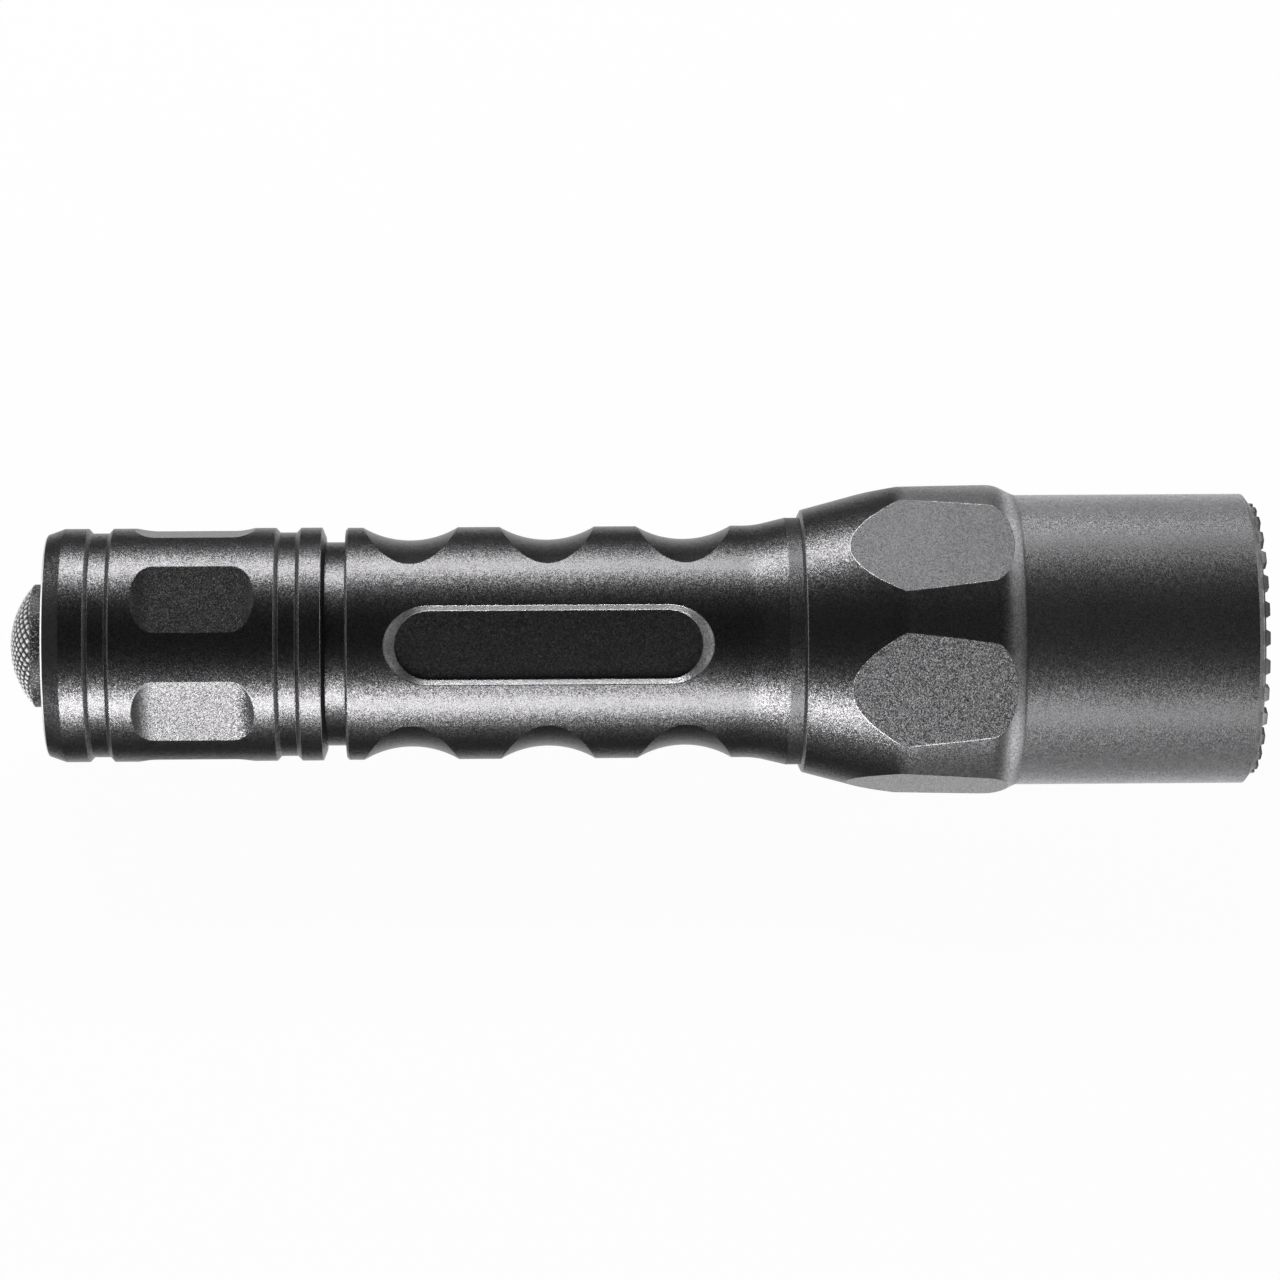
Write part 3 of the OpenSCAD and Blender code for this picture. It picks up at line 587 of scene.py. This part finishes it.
def lathe_rings(m, p, size):
    """Noise in rings about the axis, as a lathe tool leaves them, from 0 to 1."""
    x = m.axes(p)[0]
    both = m.node("ShaderNodeCombineXYZ", inputs={0: x, 1: m.radius(p), 2: 0.0})
    return m.noise(both, size, 3.0, 0.7)


def head_flats(m, at):
    """1 on the flats round the head, whose normals lean 2.3 degrees towards the tail, and 0 elsewhere."""
    lean = m.axes(m.node("ShaderNodeNewGeometry", out="True Normal"))[0]
    return m.span(lean, -0.06, -0.02, 0.01) * m.span(at, FLATS_REAR, SHOULDER_FRONT, 0.4)


def rounded_corner(m, x, y, z, r):
    """The normal of a broad rounding where the head's cone meets its cylinder. It points straight out from
    the axis in front, and leans back by the cone's slope behind."""
    slope = m.fit(x, CONE_FRONT - 2.3, CONE_FRONT + 2.3, -math.tan(CONE_LEAN), 0.0)
    way = m.node("ShaderNodeCombineXYZ", inputs={0: slope, 1: y / MM / r, 2: z / MM / r})
    way = m.node("ShaderNodeVectorMath", {"operation": "NORMALIZE"}, {0: way})
    spaces = {"vector_type": "NORMAL", "convert_from": "OBJECT", "convert_to": "WORLD"}
    return m.node("ShaderNodeVectorTransform", spaces, {0: way})


def side_recess(m, x, y, z, r):
    """Three masks of the side recesses: all that is milled, their floors and their sloping walls."""
    milled = m.fit(GRIP_R - r, 0.03, 0.09) * m.span(x, RECESS_REAR, RECESS_FRONT, 0.2)
    depth = (y * (-math.cos(RECESS_ROLL)) + z * math.sin(RECESS_ROLL)) / MM
    depth = (depth * depth) ** 0.5
    wall = milled * m.fit(depth, RECESS_FLOOR_R + 0.05, RECESS_FLOOR_R + 0.1)
    floor = milled * m.fit(depth, RECESS_FLOOR_R - 0.05, RECESS_FLOOR_R) * (1 - wall)
    return milled, floor, wall


def anodised_metal(context):
    """Blasted and black anodised aluminium: a fine sparkling grain, lighter on rounded edges, partly from
    wear and partly as a painted highlight.
    The front barrel, the collar, and the head's flats and front part are more matte than the rest.
    A painted sheen lightens the barrel and the head where they are seen aslant, a painted highlight lightens
    the recesses' walls from all sides, and a painted shade darkens the front edge."""
    f = sizes(context, "flashlight_finish")
    made, m = material("black_anodised")
    p = m.place()
    soft, edge, rim = m.soft_edges(f.edge * MM)
    x, y, z = m.axes(p)
    at, r = x / MM - TIP_X, m.radius(p) / MM
    # Where each part of the light is, from 0 to 1
    # A painted highlight: a thin line along the tail face's outer edge, drawn in the worn colour.
    lip = m.fit(at, TAIL_EDGE + 0.01, TAIL_EDGE + 0.07, 1.0, 0.0) * m.fit(r, TAIL_EDGE_R - 0.05, TAIL_EDGE_R)
    milled, recess, wall = side_recess(m, at, y, z, r)
    collar = m.span(at, COLLAR_REAR, COLLAR_FRONT, 0.1, 0.05)
    flats = head_flats(m, at)
    round_head = 1 - flats
    corner = m.span(at, CONE_FRONT - 2.4, CONE_FRONT + 2.4, 0.2) * round_head
    swell = m.span(at, CONE_FRONT - 1.0, SHOULDER_REAR + 1.6, 2.0, 1.6) * round_head * 0.7
    shoulder = m.span(at, SHOULDER_REAR, SHOULDER_FRONT, 1.6, 0.4) * round_head
    # A band on the shoulder that gets only a painted highlight in the base colour.
    painted_sheen_band = m.span(at, SHOULDER_REAR + 0.7, SHOULDER_FRONT - 0.1, 1.2, 1.0) * round_head
    barrel = m.span(at, SHOULDER_FRONT - 0.4, FRONT_EDGE_REAR, 0.4, 0.1)
    front = m.span(at, FRONT_EDGE_REAR - 0.04, FRONT_EDGE_FRONT - 0.02, 0.08)
    matte = barrel + flats + collar + swell
    soft = m.mix_normals(corner, soft, rounded_corner(m, at, y, z, r))
    # Colour: clouds and specks, then painted sheen, highlight and shade, then worn edges with painted
    # highlights
    coarse = m.noise(p, 0.6 * MM, 2.0, 0.5)
    cloud = m.noise(p, 9 * MM, 2.0, 0.5)
    specks = m.cells(p, f.grain * MM)
    tone = m.fit(coarse * 0.6 + cloud * 0.4, 0.35, 0.65) * 0.12 + m.axes(specks)[0] * 0.88
    base = m.blend(tone, [c * 0.5 for c in f.anodised], [c * 1.5 for c in f.anodised])
    facing = m.aslant()
    # The factor below scales the base colour: a painted highlight on the recesses' walls from all sides, a
    # painted sheen where the barrel, the swell, the flats and the shoulder are seen aslant, and a painted
    # shade on the front edge.
    painted_sheen = 1 + wall * 2.4
    for part, low, high, straight, aslant in (
        (barrel + swell, 0.2, 0.75, 0.0, 4.6),
        (flats, 0.3, 0.85, -0.05, 3.6),
        (shoulder, 0.1, 0.4, 0.2, 2.6),
        (painted_sheen_band, 0.1, 0.45, 0.5, 2.7),
        # The front edge: a painted shade.
        (front, 0.42, 0.66, -0.9, -0.2),
    ):
        painted_sheen = painted_sheen + part * m.fit(facing, low, high, straight, aslant)
    # A painted highlight: a thin line in the worn colour along the shallow edges round the head's flats.
    painted_flat_edge_highlight = rim * m.span(at, FLATS_REAR, SHOULDER_REAR + 0.6, 0.4, 0.6)
    painted_flat_edge_highlight = painted_flat_edge_highlight * (1 - m.span(at, CONE_FRONT - 0.7, CONE_FRONT + 0.7, 0.3))
    # Edge wear in the worn colour, with the painted highlights on the flats' edges and on the tail edge
    # added.
    wear_and_painted_highlight = edge * (1 - front * 0.9) + painted_flat_edge_highlight * 0.4
    wear_and_painted_highlight = wear_and_painted_highlight * m.fit(coarse, 0.2, 0.6, 0.45, 0.95) + lip
    rough = f.gloss + matte * (f.barrel_gloss - f.gloss) + shoulder * 0.2 + recess * 0.1
    tilt = 1 + 0.4 * matte + 0.5 * flats - 0.4 * milled + recess - 0.9 * shoulder
    m.surface(
        base_color=m.blend(wear_and_painted_highlight, m.tint(base, painted_sheen), f.worn_and_highlight),
        metallic=0.97 - barrel * 0.1,
        roughness=rough + (coarse - 0.5) * 0.03,
        normal=m.grit(soft, specks, f.relief * tilt),
    )
    return made


def ring_metal(context):
    """The lens ring's smoother black metal."""
    f = sizes(context, "flashlight_finish")
    made, m = material("black_ring")
    p = m.place()
    soft, edge, _ = m.soft_edges(0.12 * MM)
    grain = m.noise(p, 0.1 * MM, 2.0, 0.6)
    lean = m.axes(m.node("ShaderNodeNewGeometry", out="True Normal"))[0]
    outward = m.fit(lean * lean, 0.1, 0.5, 1.0, 0.0)
    # A painted shade: the teeth's fronts are darker the more aslant they are seen. Faces that point out from
    # the axis are lighter than those across it.
    painted_teeth_shade = m.fit(m.axes(p)[0] / MM - TIP_X, TEETH_REAR, TEETH_FRONT)
    painted_teeth_shade = painted_teeth_shade * m.fit(m.aslant(), 0.1, 0.45, 0.35, 0.9)
    base = m.blend(outward * (1 - painted_teeth_shade), (0.03, 0.029, 0.031), (0.2, 0.195, 0.205))
    base = m.blend(edge * m.fit(grain, 0.2, 0.6) * 0.4, base, f.worn_and_highlight)
    m.surface(
        base_color=base,
        metallic=0.15,
        roughness=0.42 + (grain - 0.5) * 0.16,
        normal=m.bump(grain, 0.006 * MM, soft),
    )
    return made


def turned_metal(name, colour_of, rough, metallic=1.0):
    """Bare metal off the lathe: fine rings, with rounded bright edges."""
    made, m = material(name)
    p = m.place()
    soft, edge, _ = m.soft_edges(0.1 * MM)
    rings = lathe_rings(m, p, 0.12 * MM)
    stain = m.noise(p, 2.4 * MM, 3.0, 0.6)
    dark = [c * 0.72 for c in colour_of]
    base = m.blend(m.fit(rings * 0.6 + stain * 0.4, 0.3, 0.7), dark, colour_of)
    base = m.blend(edge * 0.6, base, [min(1, c * 1.2) for c in colour_of])
    m.surface(
        base_color=base,
        metallic=metallic,
        roughness=rough + (rings - 0.5) * 0.2 + (stain - 0.5) * 0.1,
        normal=m.bump(rings, 0.006 * MM, soft),
    )
    return made


def moulded(name, colour_of, rough, pore=0.16, depth=0.012):
    """Moulded plastic or rubber: a fine pored skin with a slight cloudiness."""
    made, m = material(name)
    p = m.place()
    soft, edge, _ = m.soft_edges(0.12 * MM)
    pores = m.noise(p, pore * MM, 3.0, 0.6)
    cloud = m.noise(p, 1.8 * MM, 2.0, 0.5)
    base = m.blend(m.fit(cloud * 0.5 + pores * 0.5, 0.3, 0.7), [c * 0.75 for c in colour_of], colour_of)
    base = m.blend(edge * 0.35, base, [min(1, c * 1.5 + 0.02) for c in colour_of])
    m.surface(
        base_color=base,
        roughness=rough + (pores - 0.5) * 0.2,
        normal=m.bump(pores, depth * MM, soft),
    )
    return made


# ---- Operators ----


class FLASHLIGHT_OT_shells(bpy.types.Operator):
    """Finish the head, the body and the tailcap in black anodising"""

    bl_idname = "flashlight.shells"
    bl_label = "Shells"

    def execute(self, context):
        metal = anodised_metal(context)
        for node in ("head_shell", "body_tube", "tailcap_shell"):
            dress(node, metal)
        return {"FINISHED"}


class FLASHLIGHT_OT_threads(bpy.types.Operator):
    """Cut the thread of the body's spigot and of the tailcap"""

    bl_idname = "flashlight.threads"
    bl_label = "Threads"

    def execute(self, context):
        t = sizes(context, "flashlight_threads")
        metal = bpy.data.materials["finish_black_anodised"]
        half = t.pitch / 2
        for name, body, root, crest, rear, front in (
            ("body_thread", "light", t.body_root, t.body_crest, THREAD_REAR, THREAD_FRONT),
            ("cap_thread", "tailcap", t.cap_root, t.cap_crest, THREAD_REAR - 3 * half, THREAD_FRONT - half),
        ):
            ridge = helix_ridge(name, root, crest, rear, front, t.pitch, t.crest_w, t.flank_w)
            finish_piece(ridge, metal, "black_anodised", body)
        return {"FINISHED"}


class FLASHLIGHT_OT_lens_ring(bpy.types.Operator):
    """Finish the lens ring, its seal and the window"""

    bl_idname = "flashlight.lens_ring"
    bl_label = "Lens ring and window"

    def execute(self, context):
        dress("lens_ring", ring_metal(context))
        rubber = moulded("seal_rubber", (0.018, 0.017, 0.019), 0.5)
        for node in ("lens_seal", "head_seal", "tail_seal"):
            dress(node, rubber)
        glass, m = material("window_glass")
        p = m.place()
        smear = m.noise(p, 6 * MM, 3.0, 0.6)
        m.surface(
            base_color=(0.97, 0.985, 0.985),
            roughness=m.fit(smear, 0.45, 0.8, 0.0, 0.03),
            transmission_weight=1.0,
            ior=1.48,
        )
        dress("window_lens", glass)
        return {"FINISHED"}


class FLASHLIGHT_OT_reflector(bpy.types.Operator):
    """Turn the reflector: a parabola with its focus on the light source"""

    bl_idname = "flashlight.reflector"
    bl_label = "Reflector"

    def execute(self, context):
        o = sizes(context, "flashlight_optics")
        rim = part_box("window_lens")[0].x / MM - TIP_X
        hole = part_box("reflector_insulator")[1].x / MM - TIP_X
        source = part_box("led_base")[1].x / MM - TIP_X
        deep = rim - source
        focal = (math.hypot(deep, o.rim_r) - deep) / 2
        s = hole + (rim - hole) * np.linspace(0, 1, 72) ** 1.7
        mirror = np.sqrt(4 * focal * (s - source + focal))
        lip = rim - o.flange_t
        back_s = s[s < lip][::-1]
        back_r = np.sqrt(4 * focal * (back_s - source + focal)) + o.wall
        lip_r = math.sqrt(4 * focal * (lip - source + focal)) + o.wall
        chamfer = 0.08
        flange = [mirror[-1] + 0.05, o.flange_r - chamfer, o.flange_r, o.flange_r, lip_r]
        r = np.concatenate([mirror, flange, back_r])
        st = np.concatenate([s, [rim, rim, rim - chamfer, lip, lip], back_s])
        metal, m = material("mirror")
        p = m.place()
        peel = m.noise(p, 0.9 * MM, 1.0, 0.4)
        haze = m.noise(p, 3.0 * MM, 3.0, 0.6)
        m.surface(
            base_color=m.blend(m.fit(haze, 0.3, 0.8), (0.93, 0.93, 0.94), (0.86, 0.87, 0.88)),
            metallic=1.0,
            roughness=m.fit(haze, 0.4, 0.9, 0.03, 0.12),
            normal=m.bump(peel, 0.004 * MM),
        )
        piece = turned("mirror_bowl", r, st, 240, closed=True)
        finish_piece(piece, metal, "mirror", "light", "reflector")
        return {"FINISHED"}


class FLASHLIGHT_OT_light_source(bpy.types.Operator):
    """Finish the light source, its board, the heat sink and the driver"""

    bl_idname = "flashlight.light_source"
    bl_label = "Light source"

    def execute(self, context):
        o = sizes(context, "flashlight_optics")
        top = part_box("led_base")[1].x / MM - TIP_X
        tile = slab("phosphor_tile", o.die_w / 2, top - 0.02, top + o.die_t, 0.24, 0.03)
        phosphor, m = material("led_phosphor")
        p = m.place()
        speck = m.noise(p, 0.05 * MM, 2.0, 0.6)
        m.surface(
            base_color=m.blend(m.fit(speck, 0.35, 0.65), (0.86, 0.62, 0.08), (0.95, 0.8, 0.22)),
            roughness=0.55 + (speck - 0.5) * 0.3,
            normal=m.bump(speck, 0.01 * MM),
        )
        finish_piece(tile, phosphor, "led_phosphor", "light")
        dress("led_base", moulded("led_ceramic", (0.8, 0.79, 0.74), 0.45, 0.08, 0.004))
        silicone, m = material("led_silicone")
        p = m.place()
        m.surface(
            base_color=(0.98, 0.97, 0.93),
            roughness=m.fit(m.noise(p, 0.4 * MM), 0.3, 0.8, 0.02, 0.08),
            transmission_weight=0.95,
            ior=1.41,
        )
        dress("led_dome", silicone)
        dress("reflector_insulator", moulded("insulator_plastic", (0.68, 0.66, 0.58), 0.5))
        board, m = material("board_white")
        p = m.place()
        pads = m.span(m.radius(p) / MM, *PAD_R, 0.15)
        speck = m.noise(p, 0.3 * MM, 3.0)
        lacquer = m.blend(m.fit(speck, 0.3, 0.7), (0.72, 0.72, 0.69), (0.82, 0.82, 0.8))
        m.surface(
            base_color=m.blend(pads, lacquer, (0.75, 0.66, 0.42)),
            metallic=pads,
            roughness=0.4 + speck * 0.1 - pads * 0.1,
            normal=m.bump(speck + pads, 0.01 * MM),
        )
        dress("star_board", board)
        green, m = material("board_green")
        p = m.place()
        weave = m.node("ShaderNodeTexBrick", {"offset": 0.5}, {"Vector": p, "Scale": 900.0}, out="Fac")
        copper = m.fit(m.noise(p, 1.6 * MM, 0.0), 0.52, 0.56)
        land = m.span(m.radius(p) / MM, *LAND_R, 0.1)
        mask = m.blend(copper, (0.01, 0.09, 0.045), (0.02, 0.16, 0.07))
        m.surface(
            base_color=m.blend(land, mask, (0.8, 0.68, 0.42)),
            metallic=land,
            roughness=0.35 + weave * 0.08,
            normal=m.bump(copper + weave * 0.15 + land, 0.02 * MM),
        )
        for node in ("driver_board", "switch_board"):
            dress(node, green)
        bare = turned_metal("bare_aluminium", (0.72, 0.72, 0.73), 0.34)
        for node in ("heat_sink", "boot_washer", "switch_retainer"):
            dress(node, bare)
        steel = turned_metal("steel", (0.56, 0.56, 0.57), 0.28)
        for node in ("star_screws", "front_cell", "front_cell_button", "rear_cell", "rear_cell_button"):
            dress(node, steel)
        dress("led_leads", moulded("wire_red", (0.5, 0.03, 0.02), 0.4))
        return {"FINISHED"}


class FLASHLIGHT_OT_springs(bpy.types.Operator):
    """Wind the tail spring, the head spring and the switch's return spring"""

    bl_idname = "flashlight.springs"
    bl_label = "Springs"

    def execute(self, context):
        s = sizes(context, "flashlight_springs")
        gold = turned_metal("gold_spring", sizes(context, "flashlight_finish").gold, 0.2)
        dress("contact_ring", gold)
        for name, node, body, radius, wire, turns in (
            ("tail_coil", "tail_spring", "spring_carrier", s.tail_r, s.tail_wire, s.tail_turns),
            ("head_coil", "head_spring", "light", s.head_r, s.head_wire, s.head_turns),
            ("switch_coil", "switch_spring", "tailcap", s.switch_r, s.switch_wire, s.switch_turns),
        ):
            low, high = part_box(node)
            piece = coil(name, radius, wire, turns, low.x / MM - TIP_X, high.x / MM - TIP_X)
            finish_piece(piece, gold, "gold_spring", body, node)
        low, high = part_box("switch_spring")
        travel = next(j for j in frame["joints"] if j["name"] == "button_press")["range_m"][1]
        free = high.x - low.x
        1 - travel / free
        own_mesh(piece)
        return {"FINISHED"}


class FLASHLIGHT_OT_cells(bpy.types.Operator):
    """Wrap the cells"""

    bl_idname = "flashlight.cells"
    bl_label = "Cells"

    def execute(self, context):
        f = sizes(context, "flashlight_finish")
        sleeve = moulded("cell_sleeve", f.sleeve, 0.3, 0.5, 0.01)
        for node in ("front_cell_sleeve", "rear_cell_sleeve"):
            dress(node, sleeve)
        return {"FINISHED"}


class FLASHLIGHT_OT_boot(bpy.types.Operator):
    """Mould the rubber boot: one piece from its cross-hatched dome to the flange that the washer clamps"""

    bl_idname = "flashlight.boot"
    bl_label = "Rubber boot"

    def execute(self, context):
        b = sizes(context, "flashlight_boot")
        low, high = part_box("boot_flange")
        rear, front, flange_r = low.x / MM - TIP_X, high.x / MM - TIP_X, high.z / MM
        ball = (b.radius**2 + b.dome**2) / (2 * b.dome)
        reach = math.degrees(math.asin(b.radius / ball))
        a = np.linspace(0.6, reach, 66)
        outer = np.stack([ball * np.sin(np.radians(a)), ball * (1 - np.cos(np.radians(a)))], -1)
        hatched = len(outer) - 1
        inner_r, inner_dome = b.radius - b.wall, b.dome - 0.5
        ball_in = (inner_r**2 + inner_dome**2) / (2 * inner_dome)
        a = np.radians(np.linspace(math.degrees(math.asin(inner_r / ball_in)), 1.0, 14))
        inner = np.stack([ball_in * np.sin(a), b.wall + ball_in * (1 - np.cos(a))], -1)
        wall = np.linspace(b.dome + 0.06, rear - 0.3, 12)
        wall = np.stack([np.full(12, b.radius), wall], -1)
        foot = arc((b.radius + 0.25, rear - 0.25), 0.25, 180, 90, 5)
        inset = 0.15
        brim_r = [flange_r - inset, flange_r, flange_r, flange_r - inset]
        brim = np.stack([brim_r, [rear, rear + inset, front - inset, front]], -1)
        back = np.array([[inner_r + 0.3, front], [inner_r, front - 0.3], [inner_r, inner[0, 1] + 0.3]])
        outline = np.concatenate([outer, wall, foot, brim, back, inner])
        turn = np.linspace(0, TURN, 360, endpoint=False)[None, :]
        r, s = outline[:, :1], outline[:, 1:]
        y, z = r * np.cos(turn), r * np.sin(turn)
        fade = np.zeros((len(outline), 1))
        fade[:hatched, 0] = np.clip((hatched - 1 - np.arange(hatched)) / 2, 0, 1)
        reach_u, reach_v = (
            np.abs((w / b.hatch_pitch) % 1 - 0.5) * b.hatch_pitch for w in (y, z)
        )
        near = np.minimum(reach_u, reach_v)
        cut = np.clip(1 - near / (b.hatch_w / 2), 0, 1)
        cut = cut * fade
        lean = np.clip(r / ball, 0, 1)
        drawn_in = 1 - cut * b.hatch_depth * lean / np.maximum(r, 0.5)
        s = s + cut * b.hatch_depth * np.sqrt(1 - lean**2)
        piece = skin("rubber_boot", to_row(s, y * drawn_in, z * drawn_in), sharp=math.radians(60))
        tops = np.concatenate([(fade * (1 - cut)).ravel(), [1, 0]]).astype(np.float32)
        piece.data.attributes.new("tops", "FLOAT", "POINT").data.foreach_set("value", tops)
        f = sizes(context, "flashlight_finish")
        rubber, m = material("boot_rubber")
        p = m.place()
        top = m.node("ShaderNodeAttribute", {"attribute_name": "tops"}, out="Fac")
        speck = m.noise(p, 0.16 * MM, 2.0, 0.7)
        # A painted highlight: the dome's tops in the light tops colour, mottled by the specks. The flecks
        # elsewhere are random marks in the same colour.
        wear_and_painted_highlight = m.fit(top, 0.5, 0.95) * m.fit(speck, 0.3, 0.55, 0.4, 1.0)
        flecks = m.fit(speck, 0.55, 0.68, 0.0, 0.7) * (1 - top)
        base = m.blend(wear_and_painted_highlight, m.blend(flecks, f.rubber, f.rubber_dust_and_highlight), f.rubber_dust_and_highlight)
        m.surface(
            base_color=base,
            roughness=0.5 + (speck - 0.5) * 0.3 - top * 0.1,
            sheen_weight=0.25,
            sheen_roughness=0.35,
            normal=m.bump(speck, 0.04 * MM),
        )
        piece.data.materials.append(rubber)
        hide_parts("boot_flange", "switch_boot")
        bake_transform(piece)
        return {"FINISHED"}


class FLASHLIGHT_OT_switch(bpy.types.Operator):
    """Finish the switch's housing and plunger"""

    bl_idname = "flashlight.switch"
    bl_label = "Switch"

    def execute(self, context):
        dress("switch_housing", moulded("switch_plastic", (0.02, 0.02, 0.023), 0.42))
        dress("switch_plunger", moulded("plunger_plastic", (0.7, 0.69, 0.64), 0.4))
        return {"FINISHED"}


class FLASHLIGHT_OT_stage(bpy.types.Operator):
    """Set the floor, the soft strip lights, the room and the camera"""

    bl_idname = "flashlight.stage"
    bl_label = "Stage"

    def execute(self, context):
        s = sizes(context, "flashlight_stage")
        self.camera(s)
        self.floor(s)
        self.strip(s, "back_strip", s.back_at, s.back_strip)
        self.strip(s, "front_strip", s.front_at, s.front_strip)
        self.room(s)
        context.scene.view_settings.view_transform = "Standard"
        return {"FINISHED"}

    def camera(self, s):
        """A camera above the light's near side, turned a little towards its tail."""
        toward = Vector((0, -math.cos(s.elevation), math.sin(s.elevation)))
        up = Vector((0, math.sin(s.elevation), math.cos(s.elevation)))
        along = Vector((1, 0, 0))
        ahead = math.sin(s.yaw) * along - math.cos(s.yaw) * toward
        right = math.cos(s.yaw) * along + math.sin(s.yaw) * toward
        aim = s.aim_along * MM * along + s.aim_up * MM * up
        turned_right = math.cos(s.tilt) * right - math.sin(s.tilt) * up
        turned_up = math.sin(s.tilt) * right + math.cos(s.tilt) * up
        data = bpy.data.cameras.new("camera")
        data.lens, data.sensor_width = s.lens, 36
        camera = bpy.data.objects.new("camera", data)
        bpy.context.scene.collection.objects.link(camera)
        place = Matrix((turned_right, turned_up, -ahead)).transposed().to_4x4()
        place.translation = aim - s.distance * MM * ahead
        camera.matrix_world = place
        bpy.context.scene.camera = camera

    def floor(self, s):
        """A wide disc under the light, white to the camera, that keeps the light's shadow."""
        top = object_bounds()[0].z / MM - 0.02
        a = np.linspace(0, TURN, 96, endpoint=False)[None, :]
        r = np.array([3.0, s.floor_r])[:, None]
        under = np.array([[top], [top - 0.0001]])
        rings = np.stack(np.broadcast_arrays(r * np.cos(a), r * np.sin(a), under), -1) * MM
        floor = skin("floor", rings)
        made, m = material("floor")
        paper = m.node("ShaderNodeBsdfDiffuse", inputs={"Color": s.floor})
        white = m.node("ShaderNodeEmission", inputs={"Color": (1, 1, 1), "Strength": 1.0})
        seen = m.node("ShaderNodeLightPath", out="Is Camera Ray")
        both = m.node("ShaderNodeMixShader", inputs={0: seen * 0.97, 1: paper, 2: white})
        m.node("ShaderNodeOutputMaterial", inputs={"Surface": both})
        floor.data.materials.append(made)
        floor.visible_glossy = False
        floor.visible_transmission = False
        floor.visible_shadow = False
        floor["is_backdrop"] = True

    def strip(self, s, name, at, power):
        """A long soft box that faces the light from direction at about its axis, dimmer towards the head."""
        data = bpy.data.lights.new(name, "AREA")
        data.shape = "RECTANGLE"
        data.size = (s.strip_rear + s.strip_front) * MM
        data.size_y = 2 * s.strip_away * MM * math.tan(s.strip_w / 2)
        data.energy = power * math.pi * data.size * data.size_y
        data.use_nodes = True
        m = Shader(data.node_tree)
        across = m.axes(m.node("ShaderNodeTexCoord", out="UV"))[0]
        even = (s.strip_rear - s.strip_even) / (s.strip_rear + s.strip_front)
        dims = m.fit(across, even, 1.0, 1.0, 0.1)
        glow = m.node("ShaderNodeEmission", inputs={"Color": (1, 1, 1), "Strength": dims})
        m.node("ShaderNodeOutputLight", inputs={"Surface": glow})
        lamp = bpy.data.objects.new(name, data)
        bpy.context.scene.collection.objects.link(lamp)
        out = Vector((0, -math.cos(at), math.sin(at)))
        side = Vector((1, 0, 0))
        lamp.matrix_world = Matrix((side, out.cross(side), out)).transposed().to_4x4()
        middle = (s.strip_front - s.strip_rear) / 2 * MM
        lamp.matrix_world.translation = out * s.strip_away * MM + side * middle
        lamp.visible_camera = False
        lamp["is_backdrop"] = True

    def room(self, s):
        """White to the camera. To the rest it is dark, but white behind the light and past its ends."""
        world = bpy.data.worlds.new("room")
        bpy.context.scene.world = world
        world.use_nodes = True
        m = Shader(world.node_tree)
        way = m.node("ShaderNodeTexCoord", out="Generated")
        back = (0.0, math.cos(s.elevation), -math.sin(s.elevation))
        facing = m.node("ShaderNodeVectorMath", {"operation": "DOT_PRODUCT"}, {0: way, 1: back}, out="Value")
        x = m.axes(way)[0]
        ends = m.fit((x * x) ** 0.5, 0.45, 0.95, 0.0, s.ends) * m.fit(facing, -0.45, 0.15, 0.1, 1.0)
        shade = m.fit(facing, 0.7, 0.97, 0.01, 1.0) + ends
        paths = m.node("ShaderNodeLightPath").socket.node
        camera = Wire(m, paths.outputs["Is Camera Ray"])
        glow = m.node("ShaderNodeBackground", inputs={"Color": (1, 1, 1), "Strength": shade})
        white = m.node("ShaderNodeBackground", inputs={"Color": (1, 1, 1), "Strength": 1.0})
        seen = m.node("ShaderNodeMixShader", inputs={0: camera, 1: glow, 2: white})
        m.node("ShaderNodeOutputWorld", inputs={"Surface": seen})


OPERATORS = (
    FLASHLIGHT_OT_shells,
    FLASHLIGHT_OT_threads,
    FLASHLIGHT_OT_lens_ring,
    FLASHLIGHT_OT_reflector,
    FLASHLIGHT_OT_light_source,
    FLASHLIGHT_OT_springs,
    FLASHLIGHT_OT_cells,
    FLASHLIGHT_OT_switch,
    FLASHLIGHT_OT_boot,
    FLASHLIGHT_OT_stage,
)


class FLASHLIGHT_PT_panel(bpy.types.Panel):
    """Sizes, colours and the steps that build the flashlight"""

    bl_label = "Flashlight"
    bl_space_type = "VIEW_3D"
    bl_region_type = "UI"
    bl_category = "Flashlight"

    def draw(self, context):
        for name, group in GROUPS.items():
            box = self.layout.box()
            for key in group.__annotations__:
                box.prop(getattr(context.scene, name), key)
        for operator in OPERATORS:
            self.layout.operator(operator.bl_idname)


CLASSES = (*GROUPS.values(), *OPERATORS, FLASHLIGHT_PT_panel)


def register():
    """Adds the classes and the scene's settings."""
    for item in CLASSES:
        bpy.utils.register_class(item)
    for name, group in GROUPS.items():
        setattr(bpy.types.Scene, name, PointerProperty(type=group))


def unregister():
    """Takes the settings and the classes away again."""
    for name in GROUPS:
        delattr(bpy.types.Scene, name)
    for item in reversed(CLASSES):
        bpy.utils.unregister_class(item)


def main():
    register()
    for operator in OPERATORS:
        group, name = operator.bl_idname.split(".")
        getattr(getattr(bpy.ops, group), name)()


if __name__ == "__main__":
    main()
